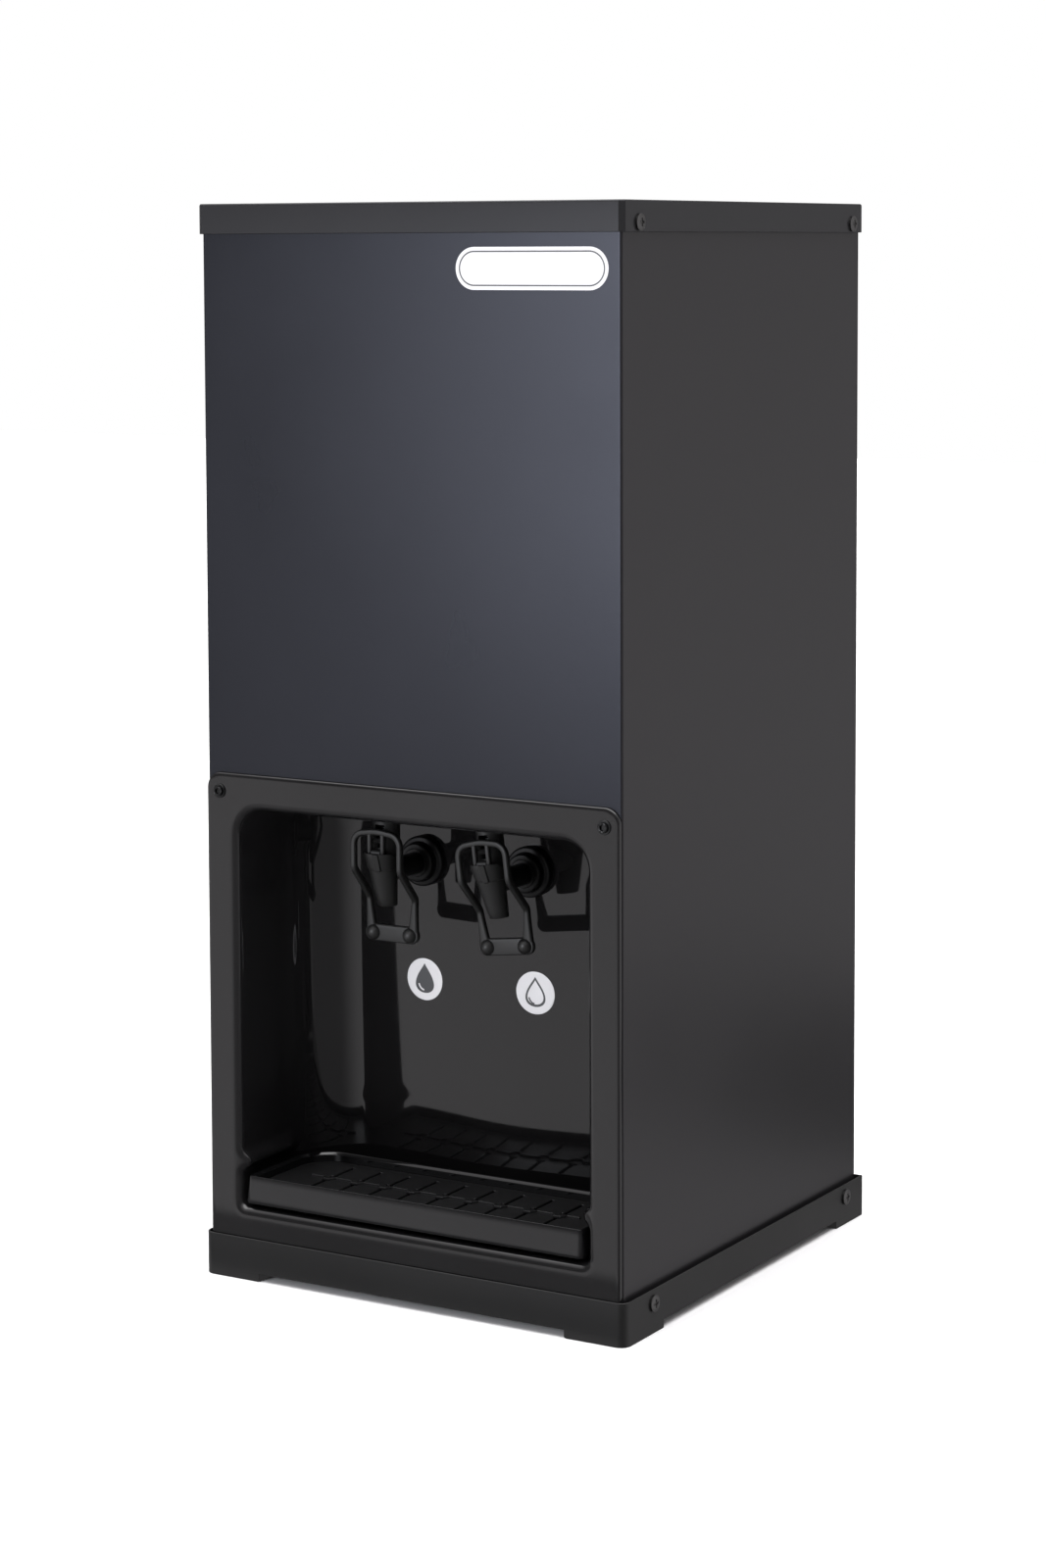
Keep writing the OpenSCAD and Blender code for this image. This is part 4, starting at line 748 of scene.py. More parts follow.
# Plate on a grid of lines at the slits' edges, its open cells left out, then given its thickness and
# round edges; and a rib along its middle that dents towards the front at each slit
def makeGrille():
    s = grille
    y0, y1, half = grilleLow[1] + s["shrink"], grilleHigh[1] - s["shrink"], grilleHigh[0] - s["shrink"]
    top, mid = grilleLow[2] + s["thick"], trayMid[1]
    corner = tray["rearCorner"] - s["edge"] - s["shrink"]
    slit, notch, rib, border = s["slit"] / 2, s["notch"] / 2, s["rib"] / 2, s["border"]
    ribEnd = rib + s["notchDeep"]
    centres = s["pitch"] * np.arange(-s["count"], s["count"] + 1)
    xs = np.unique(np.concatenate([centres + k for k in (-notch, -slit, slit, notch)]))
    ys = np.concatenate([[y0, y0 + border, mid - ribEnd, mid - rib, mid + rib, mid + ribEnd, y1 - border],
                         y1 - corner + corner * np.sin(np.linspace(0, quarter, 9))])
    ys = np.unique(ys.round(4))
    edges = grilleHalf(ys, half, y1, corner)
    right = xs[-1] + np.array([0.3, 0.65, 0.88, 1.0]) * (edges[:, None] - xs[-1])
    grid = np.concatenate([-right[:, ::-1], np.broadcast_to(xs, (len(ys), len(xs))), right], 1)
    rows, cols = grid.shape
    points = np.stack(np.broadcast_arrays(grid, ys[:, None], top), -1).reshape(-1, 3)
    cellX = (grid[0, :-1] + grid[0, 1:]) / 2
    cellY = (ys[:-1] + ys[1:]) / 2
    offX = np.abs(cellX - centres[:, None]).min(0)
    offMid = np.abs(cellY - mid)
    inRow = (cellY > y0 + border) & (cellY < y1 - border) & (offMid > rib)
    wide = inRow & (offMid < ribEnd)
    isOpen = inRow[:, None] & ((offX < slit) | (wide[:, None] & (offX < notch)))
    quads = gridQuads(rows, cols).reshape(rows - 1, cols, 4)[:, :-1]
    shell = (points, [quads[~isOpen]])
    plate = addPiece("trayGrille", shell, grilleBlack, ["tray_grille"], "tray_grille")
    solid = plate.modifiers.new("thickness", "SOLIDIFY")
    solid.thickness = s["thick"] * mm
    solid.offset = -1
    soft = plate.modifiers.new("edges", "BEVEL")
    soft.width = s["bevel"] * mm
    soft.segments = 2
    soft.limit_method = "ANGLE"
    soft.angle_limit = math.radians(40)
    dent, wideDent, flatDent = s["dent"], s["dentHalf"], s["dentHalf"] * s["dentFlat"]
    dents = np.array([(-wideDent, 0), (-flatDent, -dent), (flatDent, -dent), (wideDent, 0)])
    turns = (centres[:, None, None] * [1, 0] + dents).reshape(-1, 2)
    turns = np.concatenate([[(corner - half, 0)], turns, [(half - corner, 0)]]) + [0, mid]
    path = np.column_stack([turns, np.full(len(turns), top + s["ribHigh"] / 2 - s["ribSunk"])])
    scale = (s["ribWide"] / 2, s["ribHigh"] / 2 + s["ribSunk"])
    strip = sweep(path, roundRect(-1, 1, -1, 1, 0.6, 4), scale, facing=(0, 0, 1))
    addPiece("grilleRib", strip, grilleBlack, body="tray_grille")


makeTray()
makeGrille()
flag("keyLight", "EXCLUDE", ["alcovePanel", "dripTray", "topCap", "plinthBase", "trayGrille", "grilleRib"])
flag("fillLight", "INCLUDE", ["topCap", "plinthBase", "trayGrille", "grilleRib"])
flag("sideLight", "EXCLUDE", ["alcovePanel", "dripTray", "trayGrille", "grilleRib"])
print("drip tray: tray and grille")


# Taps, drawn at the stem's axis on the back wall's face, with -Y towards the front

tap = dict(side=46.5, level=310.0, roll={-1: 0.0, 1: 7.0})
nozzle = dict(valveY=-54.5, rimZ=12.3, rimR=12.5, outletZ=-25.7, outletR=7.2, bore=3.8, boreDeep=9.0,
              lean=12.0, footY=-53.5, collar=3.2, collarThick=1.1, collarLow=9.0, tabWide=5.0, tabLow=10.5,
              tabLean=0.338)
stem = dict(tailR=5.0, tailEnd=34.0, threadR=10.3, threadEnd=20.0, pitch=2.0, threadDeep=0.35, neckR=8.2,
            nutFront=-16.0, valveClear=6.2)
lever = dict(half=20.0, barY=-47.0, barZ=-48.0, lowKink=-21.0, frontY=-68.0, highKink=3.0, archZ=31.0,
             archR=9.0, archBow=2.2, archTop=0.4, kinkR=7.0, wide=2.2, wideMore=2.3, deep=2.4, deepMore=1.1,
             deepZ=-9.0, deepOver=9.0, splay=2.0, barHigh=12.5, barThick=4.5, barSide=3.0, barCorner=5.8,
             bossR=6.0, bossX=15.8, armIn=4.1, armThick=3.0, pivotY=-67.5, pivotZ=15.4, eye=2.6, armBack=1.4,
             tongueZ=22.3, tongueThick=3.5, tongueHalf=3.5, tongueBack=-50.0, fork=2.3)
wallNut = dict(flangeR=19.0, ringR=14.5, gasket=2.0, flangeDeep=7.0, ringDeep=7.0, bore=10.4)
tapSpring = dict(turns=5, radius=3.4, wire=0.35, low=17.3, high=25.6, keep=0.49)


# Tap's own points turned about the stem by the roll and set on the wall at its side
def onWall(points, side):
    roll = math.radians(tap["roll"][side])
    c, n = math.cos(roll), math.sin(roll)
    x, y, z = points.T
    return np.stack([x * c - z * n + side * tap["side"], y + wallY, x * n + z * c + tap["level"]], -1)


# Nozzle: circles whose radius grows and whose middle leans forward with height, hollow at the outlet,
# with a collar that rises smoothly towards the front and a tab down its face
def nozzleShell():
    s = nozzle
    rim, bore, outlet, t = s["rimR"], s["bore"], s["outletR"], s["collarThick"]
    high = s["rimZ"] - s["outletZ"]
    top, under = high + s["collar"], high - s["collarLow"]
    tilt = math.tan(math.radians(s["lean"]))

    def grow(h):
        return outlet + (rim - 0.7 - outlet) * h / high

    rows = [(bore, s["boreDeep"]), (bore, 0.5), (bore + 0.5, 0.0), (outlet - 0.6, 0.0), (outlet, 0.6)]
    rows += [(grow(h), h) for h in (6, 14, 22, under - 0.5)]
    rows += [(grow(under) + 0.55, under), (rim - 0.05, high - 0.4), (rim, top - 0.7), (rim - 0.15, top - 0.2),
             (rim - 0.45, top), (rim - t + 0.2, top - 0.1), (rim - t, top - 0.4),
             (rim - t - 0.05, high - 0.35), (rim - 2.5, high - 0.35)]
    radius, level = np.array(rows).T[..., None]
    ahead = np.clip((0.25 - np.sin(angles(72))) / 0.6, 0, 1)
    rise = np.maximum(level - high, 0)
    level = level - rise + rise * ahead ** 2 * (3 - 2 * ahead)
    loops = rings(radius, level, steps=72)
    loops[..., 1] += s["footY"] - tilt * level
    loops[..., 2] += s["outletZ"]
    front = s["footY"] - tilt * high - rim
    bounds = (-0.2, s["tabWide"], s["rimZ"] - s["tabLow"], s["rimZ"] + s["collar"] - 0.2)
    tab = stacked(bounds, [2.2, 0.5, 0.5, 2.2], [(0, front + 2.5), (0, front - 0.1), (0.3, front - 0.4)], "y")
    tab[0][:, 1] -= s["tabLean"] * (tab[0][:, 2] - s["rimZ"])
    return together(loft(loops), tab)


# Stem: tail, thread and neck turned along Y, the neck cut back round the upright valve by its circle
def stemShell():
    s = stem
    valve, neck, tail, nut, deep = nozzle["valveY"], s["neckR"], s["tailR"], s["nutFront"], s["threadDeep"]
    ys = np.arange(nut, s["threadEnd"], s["pitch"] / 4)
    crest = s["threadR"] - deep + deep * np.cos(2 * math.pi * ys / s["pitch"])
    profile = [(r, valve) for r in (0.5, 2.0, 3.5, 4.8, 5.6, 6.1, 6.6, 7.4, neck)]
    profile += [(neck, valve + d) for d in (1.5, 4.0, 8.0, 16.0)] + [(neck, nut)]
    profile += list(zip(crest, ys)) + [(tail + 3, s["threadEnd"]), (tail, s["threadEnd"] + 0.5)]
    for y in s["threadEnd"] + 2 + 3 * np.arange(4):
        profile += [(tail - 0.4, y), (tail, y + 1.8)]
    profile += [(tail, s["tailEnd"] - 0.5), (tail - 0.6, s["tailEnd"])]
    points, faces = turned(profile, "y", steps=64)
    cut = np.sqrt(np.maximum(s["valveClear"] ** 2 - points[:, 0] ** 2, 0))
    points[:, 1] += cut * np.clip(1 - (points[:, 1] - valve) / (nut - valve), 0, 1)
    return points, faces


# Lever: a strip whose width and depth change along a bent loop, with a cup bar, bosses, posts
# and a forked tongue
def leverShell():
    s = lever
    half, barY, barZ, lowKink, fore = s["half"], s["barY"], s["barZ"], s["lowKink"], s["frontY"]
    corners = [(-half, barY, barZ), (-half, barY, lowKink), (-half, fore, s["highKink"]),
               (-half, fore, s["archZ"] - s["archBow"])]
    corners += [(0, fore, s["archZ"] + s["archTop"])] + [(-x, y, z) for x, y, z in corners[::-1]]
    bends = [s["kinkR"], s["kinkR"], s["archR"]]
    arch = roundPath(corners, bends + [40] + bends[::-1], 10)[1:-1]
    leg = np.linspace(corners[0], corners[1], 8)[:-1]
    path = np.concatenate([leg, arch, leg[::-1] * [-1, 1, 1]])
    z = path[:, 2]
    low = np.clip((lowKink - z) / (lowKink - barZ), 0, 1)
    wide = s["wide"] + s["wideMore"] * low ** 1.5
    deep = s["deep"] + s["deepMore"] * np.exp(-((z - s["deepZ"]) / s["deepOver"]) ** 2)
    loop = sweep(path, roundRect(-1, 1, -1, 1, 0.62, 4), np.stack([wide, deep], -1), facing=(0, -1, 0))
    x, y, z = loop[0].T
    x -= np.sign(x) * s["splay"] * np.clip((lowKink - z) / (lowKink - barZ), 0, 1)
    b, h, ends = s["barThick"] / 2, s["barHigh"] / 2, half + s["barSide"]
    sides = [(2.0, b), (0.7, b - 0.2), (0, b - 0.9), (0, 0.9 - b), (0.7, 0.2 - b), (2.0, -b)]
    bar = stacked((-ends, ends, barZ - h, barZ + h), s["barCorner"], [(d, barY + y) for d, y in sides], "y")
    a = np.linspace(0, quarter, 12)
    dome = np.stack([s["bossR"] * np.cos(a), barY - 0.5 - s["bossR"] * np.sin(a)], -1)
    dome = np.concatenate([[(s["bossR"], barY + 1.0)], dome])
    bosses = [turned(dome, "y", (side * s["bossX"], 0, barZ), 32) for side in (-1, 1)]
    m, pivot, fork, tongue = s["armThick"] / 2, s["pivotY"], s["fork"], s["tongueHalf"]
    bounds = (pivot - s["eye"], pivot + s["armBack"], s["pivotZ"] - s["eye"], s["archZ"] + 0.5)
    layers = [(0.5, -m), (0, 0.5 - m), (0, m - 0.5), (0.5, m)]
    posts = [stacked(bounds, [1.9, 0.8, 0.8, 1.9], [(d, x + u) for d, u in layers], "x")
             for x in (-s["armIn"] - m, s["armIn"] + m)]
    t0, t1 = s["tongueZ"], s["tongueZ"] + s["tongueThick"]
    back = pivot + s["armBack"]
    wedge = np.array([(back, t0), (pivot - 0.4, (t0 + t1) / 2), (back, t1), (pivot + 3, t1), (pivot + 3, t0)])
    base = loft([standing(wedge, x, "x") for x in (-s["armIn"] - 0.5, s["armIn"] + 0.5)])
    layer = [(0.4, t0), (0, t0 + 0.4), (0, t1 - 0.4), (0.4, t1)]
    blade = stacked((-tongue, tongue, pivot + 2, nozzle["valveY"] - 2.4), 0.5, layer)
    prongs = [stacked((u, v, nozzle["valveY"] - 3, s["tongueBack"]), 0.4, layer)
              for u, v in ((fork, tongue), (-tongue, -fork))]
    return together(loop, bar, *bosses, *posts, base, blade, *prongs)


# Stepped wall nut, turned along Y with soft edges
def wallNutShell():
    s = wallNut
    bore, flange, ring, back = s["bore"], s["flangeR"], s["ringR"], -s["gasket"]
    step = back - s["flangeDeep"]
    front = step - s["ringDeep"]
    outline = [(bore, back), (flange, back), (flange, step), (ring, step), (ring, front), (bore, front),
               (bore, back - 1.0)]
    return turned(roundPath(outline, [0.6, 1.8, 1.2, 1.4, 0.5], 5), "y", steps=56)


# Return spring: a helix between the plunger's head and the bonnet's roof
def springShell():
    s = tapSpring
    a = np.linspace(0, 2 * math.pi * s["turns"], 24 * s["turns"] + 1)
    z = nozzle["rimZ"] + s["low"] + (s["high"] - s["low"]) * a / a[-1]
    path = np.stack([s["radius"] * np.cos(a), s["radius"] * np.sin(a) + nozzle["valveY"], z], -1)
    return sweep(path, roundSection(8), s["wire"], facing=(0.05, 0.03, 1.0))


# Both taps: every shell is drawn once at the stem and set on the wall; each spring gets its own copy of its
# mesh
def makeTaps():
    for side, name in ((-1, "left"), (1, "right")):
        for piece, shell, finish, nodes, body, sharp in (
                ("TapBody", nozzleShell(), tapBlack, [name + "_tap_body"], "cabinet", 35),
                # The stem takes the darker nut black as painted shade: it lies in shade between the wall nut
                # and the nozzle
                ("TapStem", stemShell(), nutBlackAndStemShade, [], "cabinet", 35),
                ("TapLever", leverShell(), tapBlack, [name + "_tap_lever"], name + "_lever", 35),
                ("WallNut", wallNutShell(), nutBlackAndStemShade, [name + "_tap_wall_nut"], "cabinet", 40)):
            addPiece(name + piece, moved(shell, onWall, side), finish, nodes, body, sharp)
        coil = moved(springShell(), onWall, side)
        spring = addPiece(name + "TapSpring", coil, steelPlain, [name + "_tap_spring"])
        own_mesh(spring)


makeTaps()
print("taps: two bodies, levers, wall nuts and springs")


# Screws

crossScrew = dict(recess=0.5, arm=0.13, deep=1.3, soft=0.22, shank=2.0, shankTip=1.2, sideHead=6.1,
                  sideDeep=8.0, capLift=1.3, rearHead=4.0, rearDeep=6.0)
socketScrew = dict(head=0.72, well=0.6, washerHigh=1.0, high=2.2, shank=2.0, deep=8.0)
rearScrewMid = nodeBox("tank_shelf")[1][2]  # the middle rear screws hold the shelf's flange


# Head over a seat: a low dome on rings and spokes, less a cross that is deep where an arm is near,
# on a plain shank
def crossScrewShell(radius, high, length):
    s = crossScrew
    a, shank = angles(96), s["shank"]
    share = np.concatenate([[0.002], np.linspace(0.04, 0.62, 20), np.linspace(0.68, 1.0, 10)])[:, None]
    x, y = radius * share * np.cos(a), radius * share * np.sin(a)
    dome = high * (1 - 0.2 * share ** 2 - 0.14 * share ** 8)

    def fade(d, edge):
        return np.clip((edge * radius - np.abs(d)) / s["soft"] + 0.5, 0, 1)

    cross = np.maximum(fade(x, s["arm"]) * fade(y, s["recess"]), fade(y, s["arm"]) * fade(x, s["recess"]))
    top = dome - s["deep"] * cross * (1 - 0.4 * share)
    under = np.array([(radius - 0.1, 0.5 * high), (radius * 0.84, 0.38 * high), (radius * 0.82, 0.0),
                      (shank, 0.0), (shank, -length), (shank * 0.4, -length - s["shankTip"])])
    below = rings(under[:, :1], under[:, 1:], steps=96)
    return loft(np.concatenate([rings(radius * share, top, steps=96), below]))


# Socket screw on a washer: rings and spokes with a six-sided well in the middle
def socketScrewShell(washer):
    s = socketScrew
    head, seat, shank, deep = washer * s["head"], s["washerHigh"], s["shank"], s["deep"]
    a, sixth, top = angles(96), math.pi / 6, seat + s["high"]
    well = head * s["well"] * math.cos(sixth) / np.cos((a + sixth) % (2 * sixth) - sixth)
    rows = np.array([  # share of the well's outline, radius past it, height
        (0, 0.01, seat + 0.3), (1, -0.1, seat + 0.3), (1, 0, top - 0.5), (1, 0.25, top - 0.1),
        (0, head - 0.6, top), (0, head - 0.15, top - 0.2), (0, head, top - 0.6), (0, head, seat),
        (0, washer - 0.3, seat), (0, washer, seat - 0.3), (0, washer, 0), (0, shank, 0), (0, shank, -deep),
        (0, shank * 0.4, -deep - 1)])
    return loft(rings(rows[:, :1] * well + rows[:, 1:2], rows[:, 2:], steps=96))


# Points drawn along +Z turned to point along another way and set at a place
def pointing(shell, way, place):
    turn = np.array(Vector((0, 0, 1)).rotation_difference(Vector(way)).to_matrix())
    return shell[0] @ turn.T + np.asarray(place, float), shell[1]


# All screws: each node's screws stand on its panel's face, as far in from the node's box as a head's radius
def makeScrews():
    s = crossScrew
    groups = {}
    for node, x in (("cap_screws", capHigh[0]), ("plinth_screws", plinthHigh[0])):
        low, high, mid = nodeBox(node)
        r = (high[2] - low[2]) / 2
        z = mid[2] + ((s["sideHead"] - r) * s["capLift"] if node == "cap_screws" else 0)
        shell = crossScrewShell(s["sideHead"], high[0] - x, s["sideDeep"])
        ys = (low[1] + r, high[1] - r)
        groups[node] = [pointing(shell, (k, 0, 0), (k * x, y, z)) for k in (-1, 1) for y in ys]
    low, high = nodeBox("rear_screws")[:2]
    r = s["rearHead"]
    shell = crossScrewShell(r, high[1] - rearY, s["rearDeep"])
    zs = (low[2] + r, rearScrewMid, high[2] - r)
    x = high[0] - r
    groups["rear_screws"] = [pointing(shell, (0, 1, 0), (k * x, rearY, z)) for k in (-1, 1) for z in zs]
    low, high, mid = nodeBox("fascia_screws")
    r = (high[2] - low[2]) / 2
    shell = socketScrewShell(r)
    x = high[0] - r
    groups["fascia_screws"] = [pointing(shell, (0, -1, 0), (k * x, fasciaY, mid[2])) for k in (-1, 1)]
    for node, shells in groups.items():
        name = node.split("_")[0] + "Screws"
        finish = nutBlackAndStemShade if node == "fascia_screws" else screwBlack
        addPiece(name, together(*shells), finish, [node], sharp=30)


makeScrews()
print("screws: cap, plinth, fascia and rear")


# Signs

label = dict(bounds=(43.0, 166.0, 738.0, 768.0), radius=15.0, thick=0.2, line=1.1, lineInset=2.6, ink=0.05)
dropSign = dict(x=48.3, z=218.8, radius=16.0, thick=0.15, half=9.0, high=11.4, rise=0.9, ring=0.80,
                ringLow=-2.0, ink=0.05, shineX=5.4, shineZ=5.6, shineDrop=3.6, shineFrom=190, shineTo=262,
                shineHalf=0.6)


# Drop: width is a sine drawn in towards the tip by a half-angle sine, height a cosine
def dropLoop(half, high):
    t = angles(72)
    return np.stack([half * 1.3 * np.sin(t) * np.sin(t / 2) ** 1.4, high * np.cos(t)], -1)


# Points drawn against an upright wall moved onto the formed one: back by the wall's own set-back
# at each place
def onBackWall(points):
    wall = np.stack([points[:, 0], np.full(len(points), wallY), points[:, 2]], -1)
    return points + (wallSetBack(wall) - wall)


# Label: a thin plate of a rounded outline with a soft front edge, and on it the band between two insets
def makeLabel():
    s = label
    t, face, near, far = s["thick"], frontY - s["thick"], s["lineInset"], s["lineInset"] + s["line"]
    plate = [(0, frontY), (0, frontY - t * 0.7), (t * 0.4, face)]
    line = [(near, face), (near, face - s["ink"]), (far, face - s["ink"]), (far, face)]
    shell = stacked(s["bounds"], s["radius"], plate, "y", 16)
    addPiece("frontLabel", shell, labelWhite)
    shell = stacked(s["bounds"], s["radius"], line, "y", 16, capped=False)
    addPiece("labelLine", shell, inkGrey)


# Drop signs: a thin turned disc, a drop that is filled on the left and a ring on the right,
# and an arc of shine
def makeDropSigns():
    s = dropSign
    r, t, ink, face = s["radius"], s["thick"], s["ink"], wallY - s["thick"]
    drop = dropLoop(s["half"], s["high"])
    foot = np.array([0, s["ringLow"]])
    inner = (drop - foot) * s["ring"] + foot
    filled = ((drop, 0), (drop, ink), (drop * 0.9, ink + 0.01), (drop * 0.5, ink + 0.01))
    outlined = ((drop, 0), (drop, ink), (inner, ink), (inner, 0))
    disc = [(r, wallY), (r, wallY - t * 0.6), (r - 0.1, face)]
    disc += [(r * f, face) for f in (0.9, 0.7, 0.45, 0.2)]
    a = np.radians(np.linspace(s["shineFrom"], s["shineTo"], 14))
    for side, name, loops in ((-1, "left", filled), (1, "right", outlined)):
        x, z = side * s["x"], s["z"] + s["rise"]
        plate = turned(disc, "y", (x, 0, s["z"]), 96)
        addPiece(name + "Sign", moved(plate, onBackWall), labelWhite)
        mark = loft([standing(loop + [x, z], face - h, "y") for loop, h in loops], capped=side < 0)
        shineZ = z - s["shineDrop"] + s["shineZ"] * np.sin(a)
        path = np.stack([x + s["shineX"] * np.cos(a), np.full(len(a), face - ink - 0.02), shineZ], -1)
        arc = sweep(path, roundRect(-1, 1, -1, 1, 0.5, 3), (s["shineHalf"], 0.03), facing=(0, -1, 0))
        inked = mark if side < 0 else together(mark, arc)
        addPiece(name + "Drop", moved(inked, onBackWall), inkGrey)
        if side < 0:
            addPiece("leftShine", moved(arc, onBackWall), labelWhite)


makeLabel()
makeDropSigns()
print("signs: one blank label and two drops")


# Rear fittings

knob = dict(ridges=20, ridge=0.7, pointer=1.2, bore=3.2)
inlet = dict(radius=10.2, bore=6.0, pitch=1.8, deep=0.6, fade=1.5, body=9.0, tail=5.0, barb=4.4, teeIn=21.0)
gland = dict(bore=4.0, body=8.0, ribs=3, ribPitch=2.2, taper=0.4)
teeY = rearInY - inlet["teeIn"]


# Knob: a skirt and a grip whose radius rises and falls round its edge, with a raised pointer
def makeKnob():
    s = knob
    low, high, mid = nodeBox("thermostat_knob")
    x, z = mid[0], mid[2]
    r, deep, half = (high[0] - low[0]) / 2, high[1] - low[1], s["pointer"] / 2
    wave = (0.5 + 0.5 * np.cos(s["ridges"] * angles(240))) ** 2 * s["ridge"]
    rows = np.array([  # radius, height, share of the ridges
        (s["bore"], 0, 0), (r - 0.4, 0, 0), (r, 0.4, 0), (r, 2.4, 0), (r - 0.6, 3.0, 0), (r - 2.0, 3.2, 0),
        (r - 2.0, 3.8, 1), (r - 2.3, deep - 1.4, 1), (r - 2.8, deep - 0.5, 0.6), (r - 4.0, deep, 0),
        (r - 6, deep, 0)])
    grip = loft(rings(rows[:, :1] - rows[:, 2:] * wave, low[1] + rows[:, 1:2], "y", (x, 0, z), 240))
    top = high[1]
    layers = [(0, top - 0.4), (0, top - 0.1), (0.15, top)]
    pointer = stacked((x - half, x + half, z + 2, z + r - 4), 0.5, layers, "y")
    shell = together(grip, pointer)
    addPiece("thermostatKnob", shell, tapBlack, ["thermostat_knob"], "thermostat_knob", 40)


# Inlet: its radius falls and rises along a screw line, a wave of height less angle;
# then the flange and the tee
def makeInlet():
    s = inlet
    low, high, mid = nodeBox("inlet_fitting")
    z, tip, end, flange = mid[2], high[1], low[1], (high[2] - low[2]) / 2
    r, bore, body, tail = s["radius"], s["bore"], s["body"], s["tail"]
    ys = np.arange(rearY + 3.2, tip - 0.8, s["pitch"] / 8)[:, None]
    phase = (ys / s["pitch"] - angles(64) / (2 * math.pi)) % 1
    fade = np.clip(np.minimum(ys - ys[0], ys[-1] - ys) / s["fade"], 0, 1)
    front = np.array([(2, end), (tail - 0.4, end), (tail, end + 0.6), (tail, end + 8), (body, end + 8.2),
                      (body, rearInY - 9), (r, rearInY - 9.5), (r, rearY - 0.02), (flange, rearY - 0.01),
                      (flange, rearY + 2.4), (flange - 0.6, rearY + 3.0), (r, rearY + 3.1)])
    back = np.array([(r - 0.5, tip - 0.5), (r - 1.2, tip), (bore + 0.4, tip), (bore, tip - 0.6),
                     (bore, rearY - 4)])
    sections = ((front[:, :1], front[:, 1:]), (r - s["deep"] * np.abs(2 * phase - 1) * fade, ys),
                (back[:, :1], back[:, 1:]))
    shell = loft(np.concatenate([rings(radius, y, "y", (0, 0, z), 64) for radius, y in sections]))
    branch = [(tail, 0), (tail, 8)]
    for x in (9, 12, 15):
        branch += [(s["barb"], x), (tail, x + 2.5)]
    branch += [(tail, 21.4), (s["barb"], 22)]
    shell = together(shell, turned(branch, "x", (0, teeY, z), 32))
    addPiece("waterInlet", shell, brassTurned, ["inlet_fitting"], sharp=40)


# Cord gland: a flange and a ribbed nose round an open bore
def makeGland():
    s = gland
    low, high, mid = nodeBox("cord_gland")
    flange, bore, body = (high[0] - low[0]) / 2, s["bore"], s["body"]
    profile = [(bore, low[1]), (body - 0.4, low[1]), (body, low[1] + 0.4), (body, rearY), (flange, rearY),
               (flange, rearY + 3.4), (flange - 0.6, rearY + 4.0), (body, rearY + 4.1)]
    for k in range(s["ribs"]):
        y, r = rearY + 5.0 + s["ribPitch"] * k, 7.2 - s["taper"] * k
        profile += [(r, y), (r, y + 0.8), (r + 0.6, y + 1.0), (r + 0.6, y + 2.0)]
    profile += [(6.4, high[1] - 0.3), (6.0, high[1]), (bore + 0.4, high[1]), (bore, high[1] - 0.4)]
    shell = turned(profile, "y", (mid[0], 0, mid[2]), 48, capped=False)
    addPiece("cordGland", shell, rubberBlack, ["cord_gland"], sharp=40)


makeKnob()
makeInlet()
makeGland()
print("rear: knob, water inlet and gland")


# Inner pipes and hoses, on the routes that the fittings set

hoses = dict(radius=7.0, bend=25.0, teeEnd=22.0, dropX=75.0, back=90.0)
evaporator = dict(radius=4.0, tankR=115.0, tankGap=0.6, low=460.0, pitch=20.0, turns=10, exitX=24.0,
                  exitRun=11.0, bend=12.0)
condenser = dict(radius=3.0, left=-154.0, right=-18.0, top=369.0, bottom=129.0, runs=9, pitch=30.0,
                 inward=14.0, wires=12, wireR=0.8, wirePast=8.0, endRun=12.0, inset=40.0, railWide=12.0,
                 railPast=4.0)
lines = dict(radius=3.0, capillary=1.4, compX=-55.0, compY=55.0, stubX=34.0, stubY=22.0, stubTop=204.0,
             riser=40.0, drierX=48.0, drierLow=157.0, drierHigh=271.0, capillaryRun=40.0, bypass=12.0)
pipeY = rearInY - condenser["inward"]
exitY = pipeY - evaporator["exitRun"]
coilLow = evaporator["low"]
coilHigh = coilLow + evaporator["turns"] * evaporator["pitch"]


# Hoses: a circle along a route with round corners, from the inlet's tee and the tank to each tap's tail
def makeHoses():
    s = hoses
    low, high, mid = nodeBox("float_hose")
    tapZ, tapX, tailY, x = tap["level"], tap["side"], wallY + stem["tailEnd"], s["dropX"]
    ambient = [(s["teeEnd"], teeY, mid[2]), (x, teeY, mid[2]), (x, teeY, tapZ),
               (tapX, teeY - s["back"], tapZ), (tapX, tailY, tapZ)]
    tankEnd = nodeBox("cold_hose")[1][2]
    cold = [(-tapX, midY, tankEnd), (-tapX, midY, tapZ), (-tapX, tailY, tapZ)]
    inlets = [(0, y, mid[2]) for y in (low[1], mid[1], high[1])]
    for name, path, node in (("ambientHose", roundPath(ambient, s["bend"]), "natural_hose"),
                             ("coldHose", roundPath(cold, s["bend"]), "cold_hose"),
                             ("floatHose", inlets, "float_hose")):
        shell = sweep(path, roundSection(), s["radius"])
        addPiece(name, shell, whitePlastic, [node])


# Evaporator: a circle along a helix round the tank, with a bent lead at each end
def makeEvaporator():
    s = evaporator
    r, x = s["tankR"] + s["radius"] + s["tankGap"], s["exitX"]
    a = np.linspace(0, 2 * math.pi * s["turns"], 48 * s["turns"] + 1)
    turn = quarter + a
    coil = np.stack([r * np.cos(turn), midY + r * np.sin(turn), coilLow + s["pitch"] * a / (2 * math.pi)], -1)
    lead = roundPath([(x, exitY, coilLow), (x, midY + r, coilLow), (0, midY + r, coilLow)], s["bend"])[:-1]
    path = np.concatenate([lead, coil, (lead * [-1, 1, 0] + [0, 0, coilHigh])[::-1]])
    shell = sweep(path, roundSection(12), s["radius"])
    addPiece("evaporatorCoil", shell, copperTube, ["evaporator_coil"])


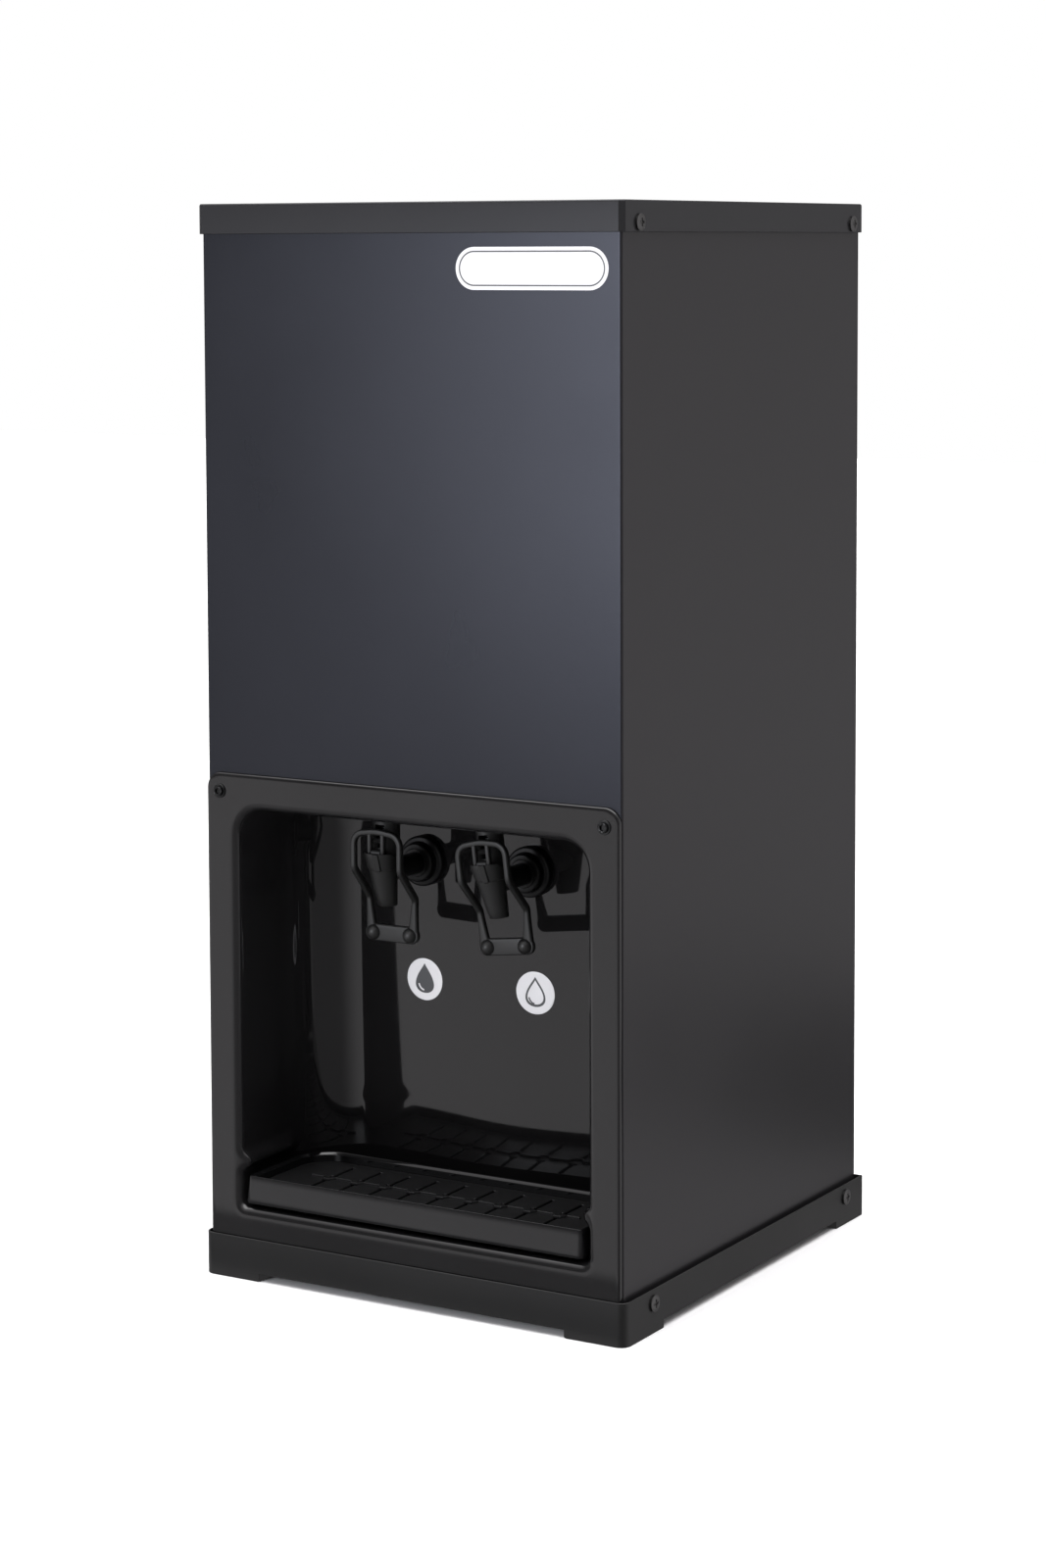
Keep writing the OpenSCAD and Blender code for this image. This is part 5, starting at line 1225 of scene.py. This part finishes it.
# Refrigerant lines: a circle along each route, from compressor to condenser, drier, evaporator and back
def makeLines():
    s, c = lines, condenser
    backY = midY + s["compY"] + s["stubY"]
    out, back, stub = s["compX"] - s["stubX"], s["compX"] + s["stubX"], s["stubTop"]
    riser, side, top, bottom = stub + s["riser"], c["left"] - s["bypass"], c["top"], c["bottom"]
    drier, across, x = s["drierX"], coilLow + s["capillaryRun"], evaporator["exitX"]
    toCondenser = [(out, backY, stub), (out, backY, riser), (side, backY, riser), (side, backY, top),
                   (side, pipeY, top), (c["left"], pipeY, top)]
    toDrier = [(c["right"], pipeY, bottom), (drier, pipeY, bottom), (drier, pipeY, s["drierLow"])]
    capillary = [(drier, pipeY, s["drierHigh"]), (drier, pipeY, across), (-x, pipeY, across),
                 (-x, pipeY, coilHigh), (-x, exitY, coilHigh)]
    suction = [(x, exitY, coilLow), (x, pipeY, coilLow), (x, pipeY, riser), (back, backY, riser),
               (back, backY, stub)]
    routes = [(toCondenser, 11, s["radius"]), (toDrier, 12, s["radius"]),
              (capillary, [10, 10, 8], s["capillary"]), (suction, [8, 12, 12], s["radius"])]
    shells = [sweep(roundPath(points, bends), roundSection(12), r) for points, bends, r in routes]
    addPiece("refrigerantLines", together(*shells), copperTube, ["refrigerant_lines"])


# Condenser: a circle along a snake of level runs, straight wires on both sides of it, and two rails behind
def makeCondenser():
    s = condenser
    left, right, top, bottom, r, runs = s["left"], s["right"], s["top"], s["bottom"], s["radius"], s["runs"]
    zs = top - s["pitch"] * np.arange(runs)
    ends = [left, right, right, left] * (runs // 2) + [left, right]
    corners = [(x + (s["endRun"] if x == left else -s["endRun"]) * (0 < i < 2 * runs - 1), pipeY, zs[i // 2])
               for i, x in enumerate(ends)]
    shells = [sweep(roundPath(corners, s["pitch"] / 2 - 0.1), roundSection(12), r)]
    for x in np.linspace(left + s["inset"], right - s["inset"], s["wires"]):
        for y in (pipeY - (r + 0.85), pipeY + (r + 0.85)):
            wire = [(x, y, bottom - s["wirePast"]), (x, y, top + s["wirePast"])]
            shells.append(sweep(wire, roundSection(8), s["wireR"]))
    wide, past = s["railWide"], s["railPast"]
    for x in (left + s["inset"], right - s["inset"] - wide):
        bounds = (x, x + wide, pipeY + r + 1.7, rearInY)
        shells.append(stacked(bounds, 0.6, [(0, bottom - past), (0, top + past)]))
    addPiece("condenser", together(*shells), enamelBlack, ["condenser"])


makeHoses()
makeEvaporator()
makeLines()
makeCondenser()
print("inside: hoses, evaporator, lines and condenser")


# Frame nodes that keep their own shape get the finish of their slot

nodeFinishes = dict(front_panel=shadedFrontPaint, left_tap_pin=pinBlack, right_tap_pin=pinBlack)
slotFinishes = dict(body_paint=bodyPaint, plinth=plinthPlastic, gloss_black=glossBlack, grille=grilleBlack,
                    tap_black=tapBlack, dark_screw=screwBlack, steel=steelPlain, galvanised=zincPlain,
                    rubber=rubberBlack, copper=copperTube, brass=brassTurned, foam=foamCream,
                    white_plastic=whitePlastic, float_plastic=floatOrange, compressor_black=enamelBlack,
                    black_plastic=mouldedBlack)


# Each node's first material is its own finish where it has one, and its slot's otherwise
def dressNodes():
    for part in frame["record"]["subparts"]:
        node = frame["nodes"][part["node"]]
        finish = nodeFinishes.get(part["node"], slotFinishes[part["material_slot"]])
        if node.material_slots:
            node.material_slots[0].material = finish
        else:
            node.data.materials.append(finish)


dressNodes()
print("frame nodes dressed:", len(frame["nodes"]))
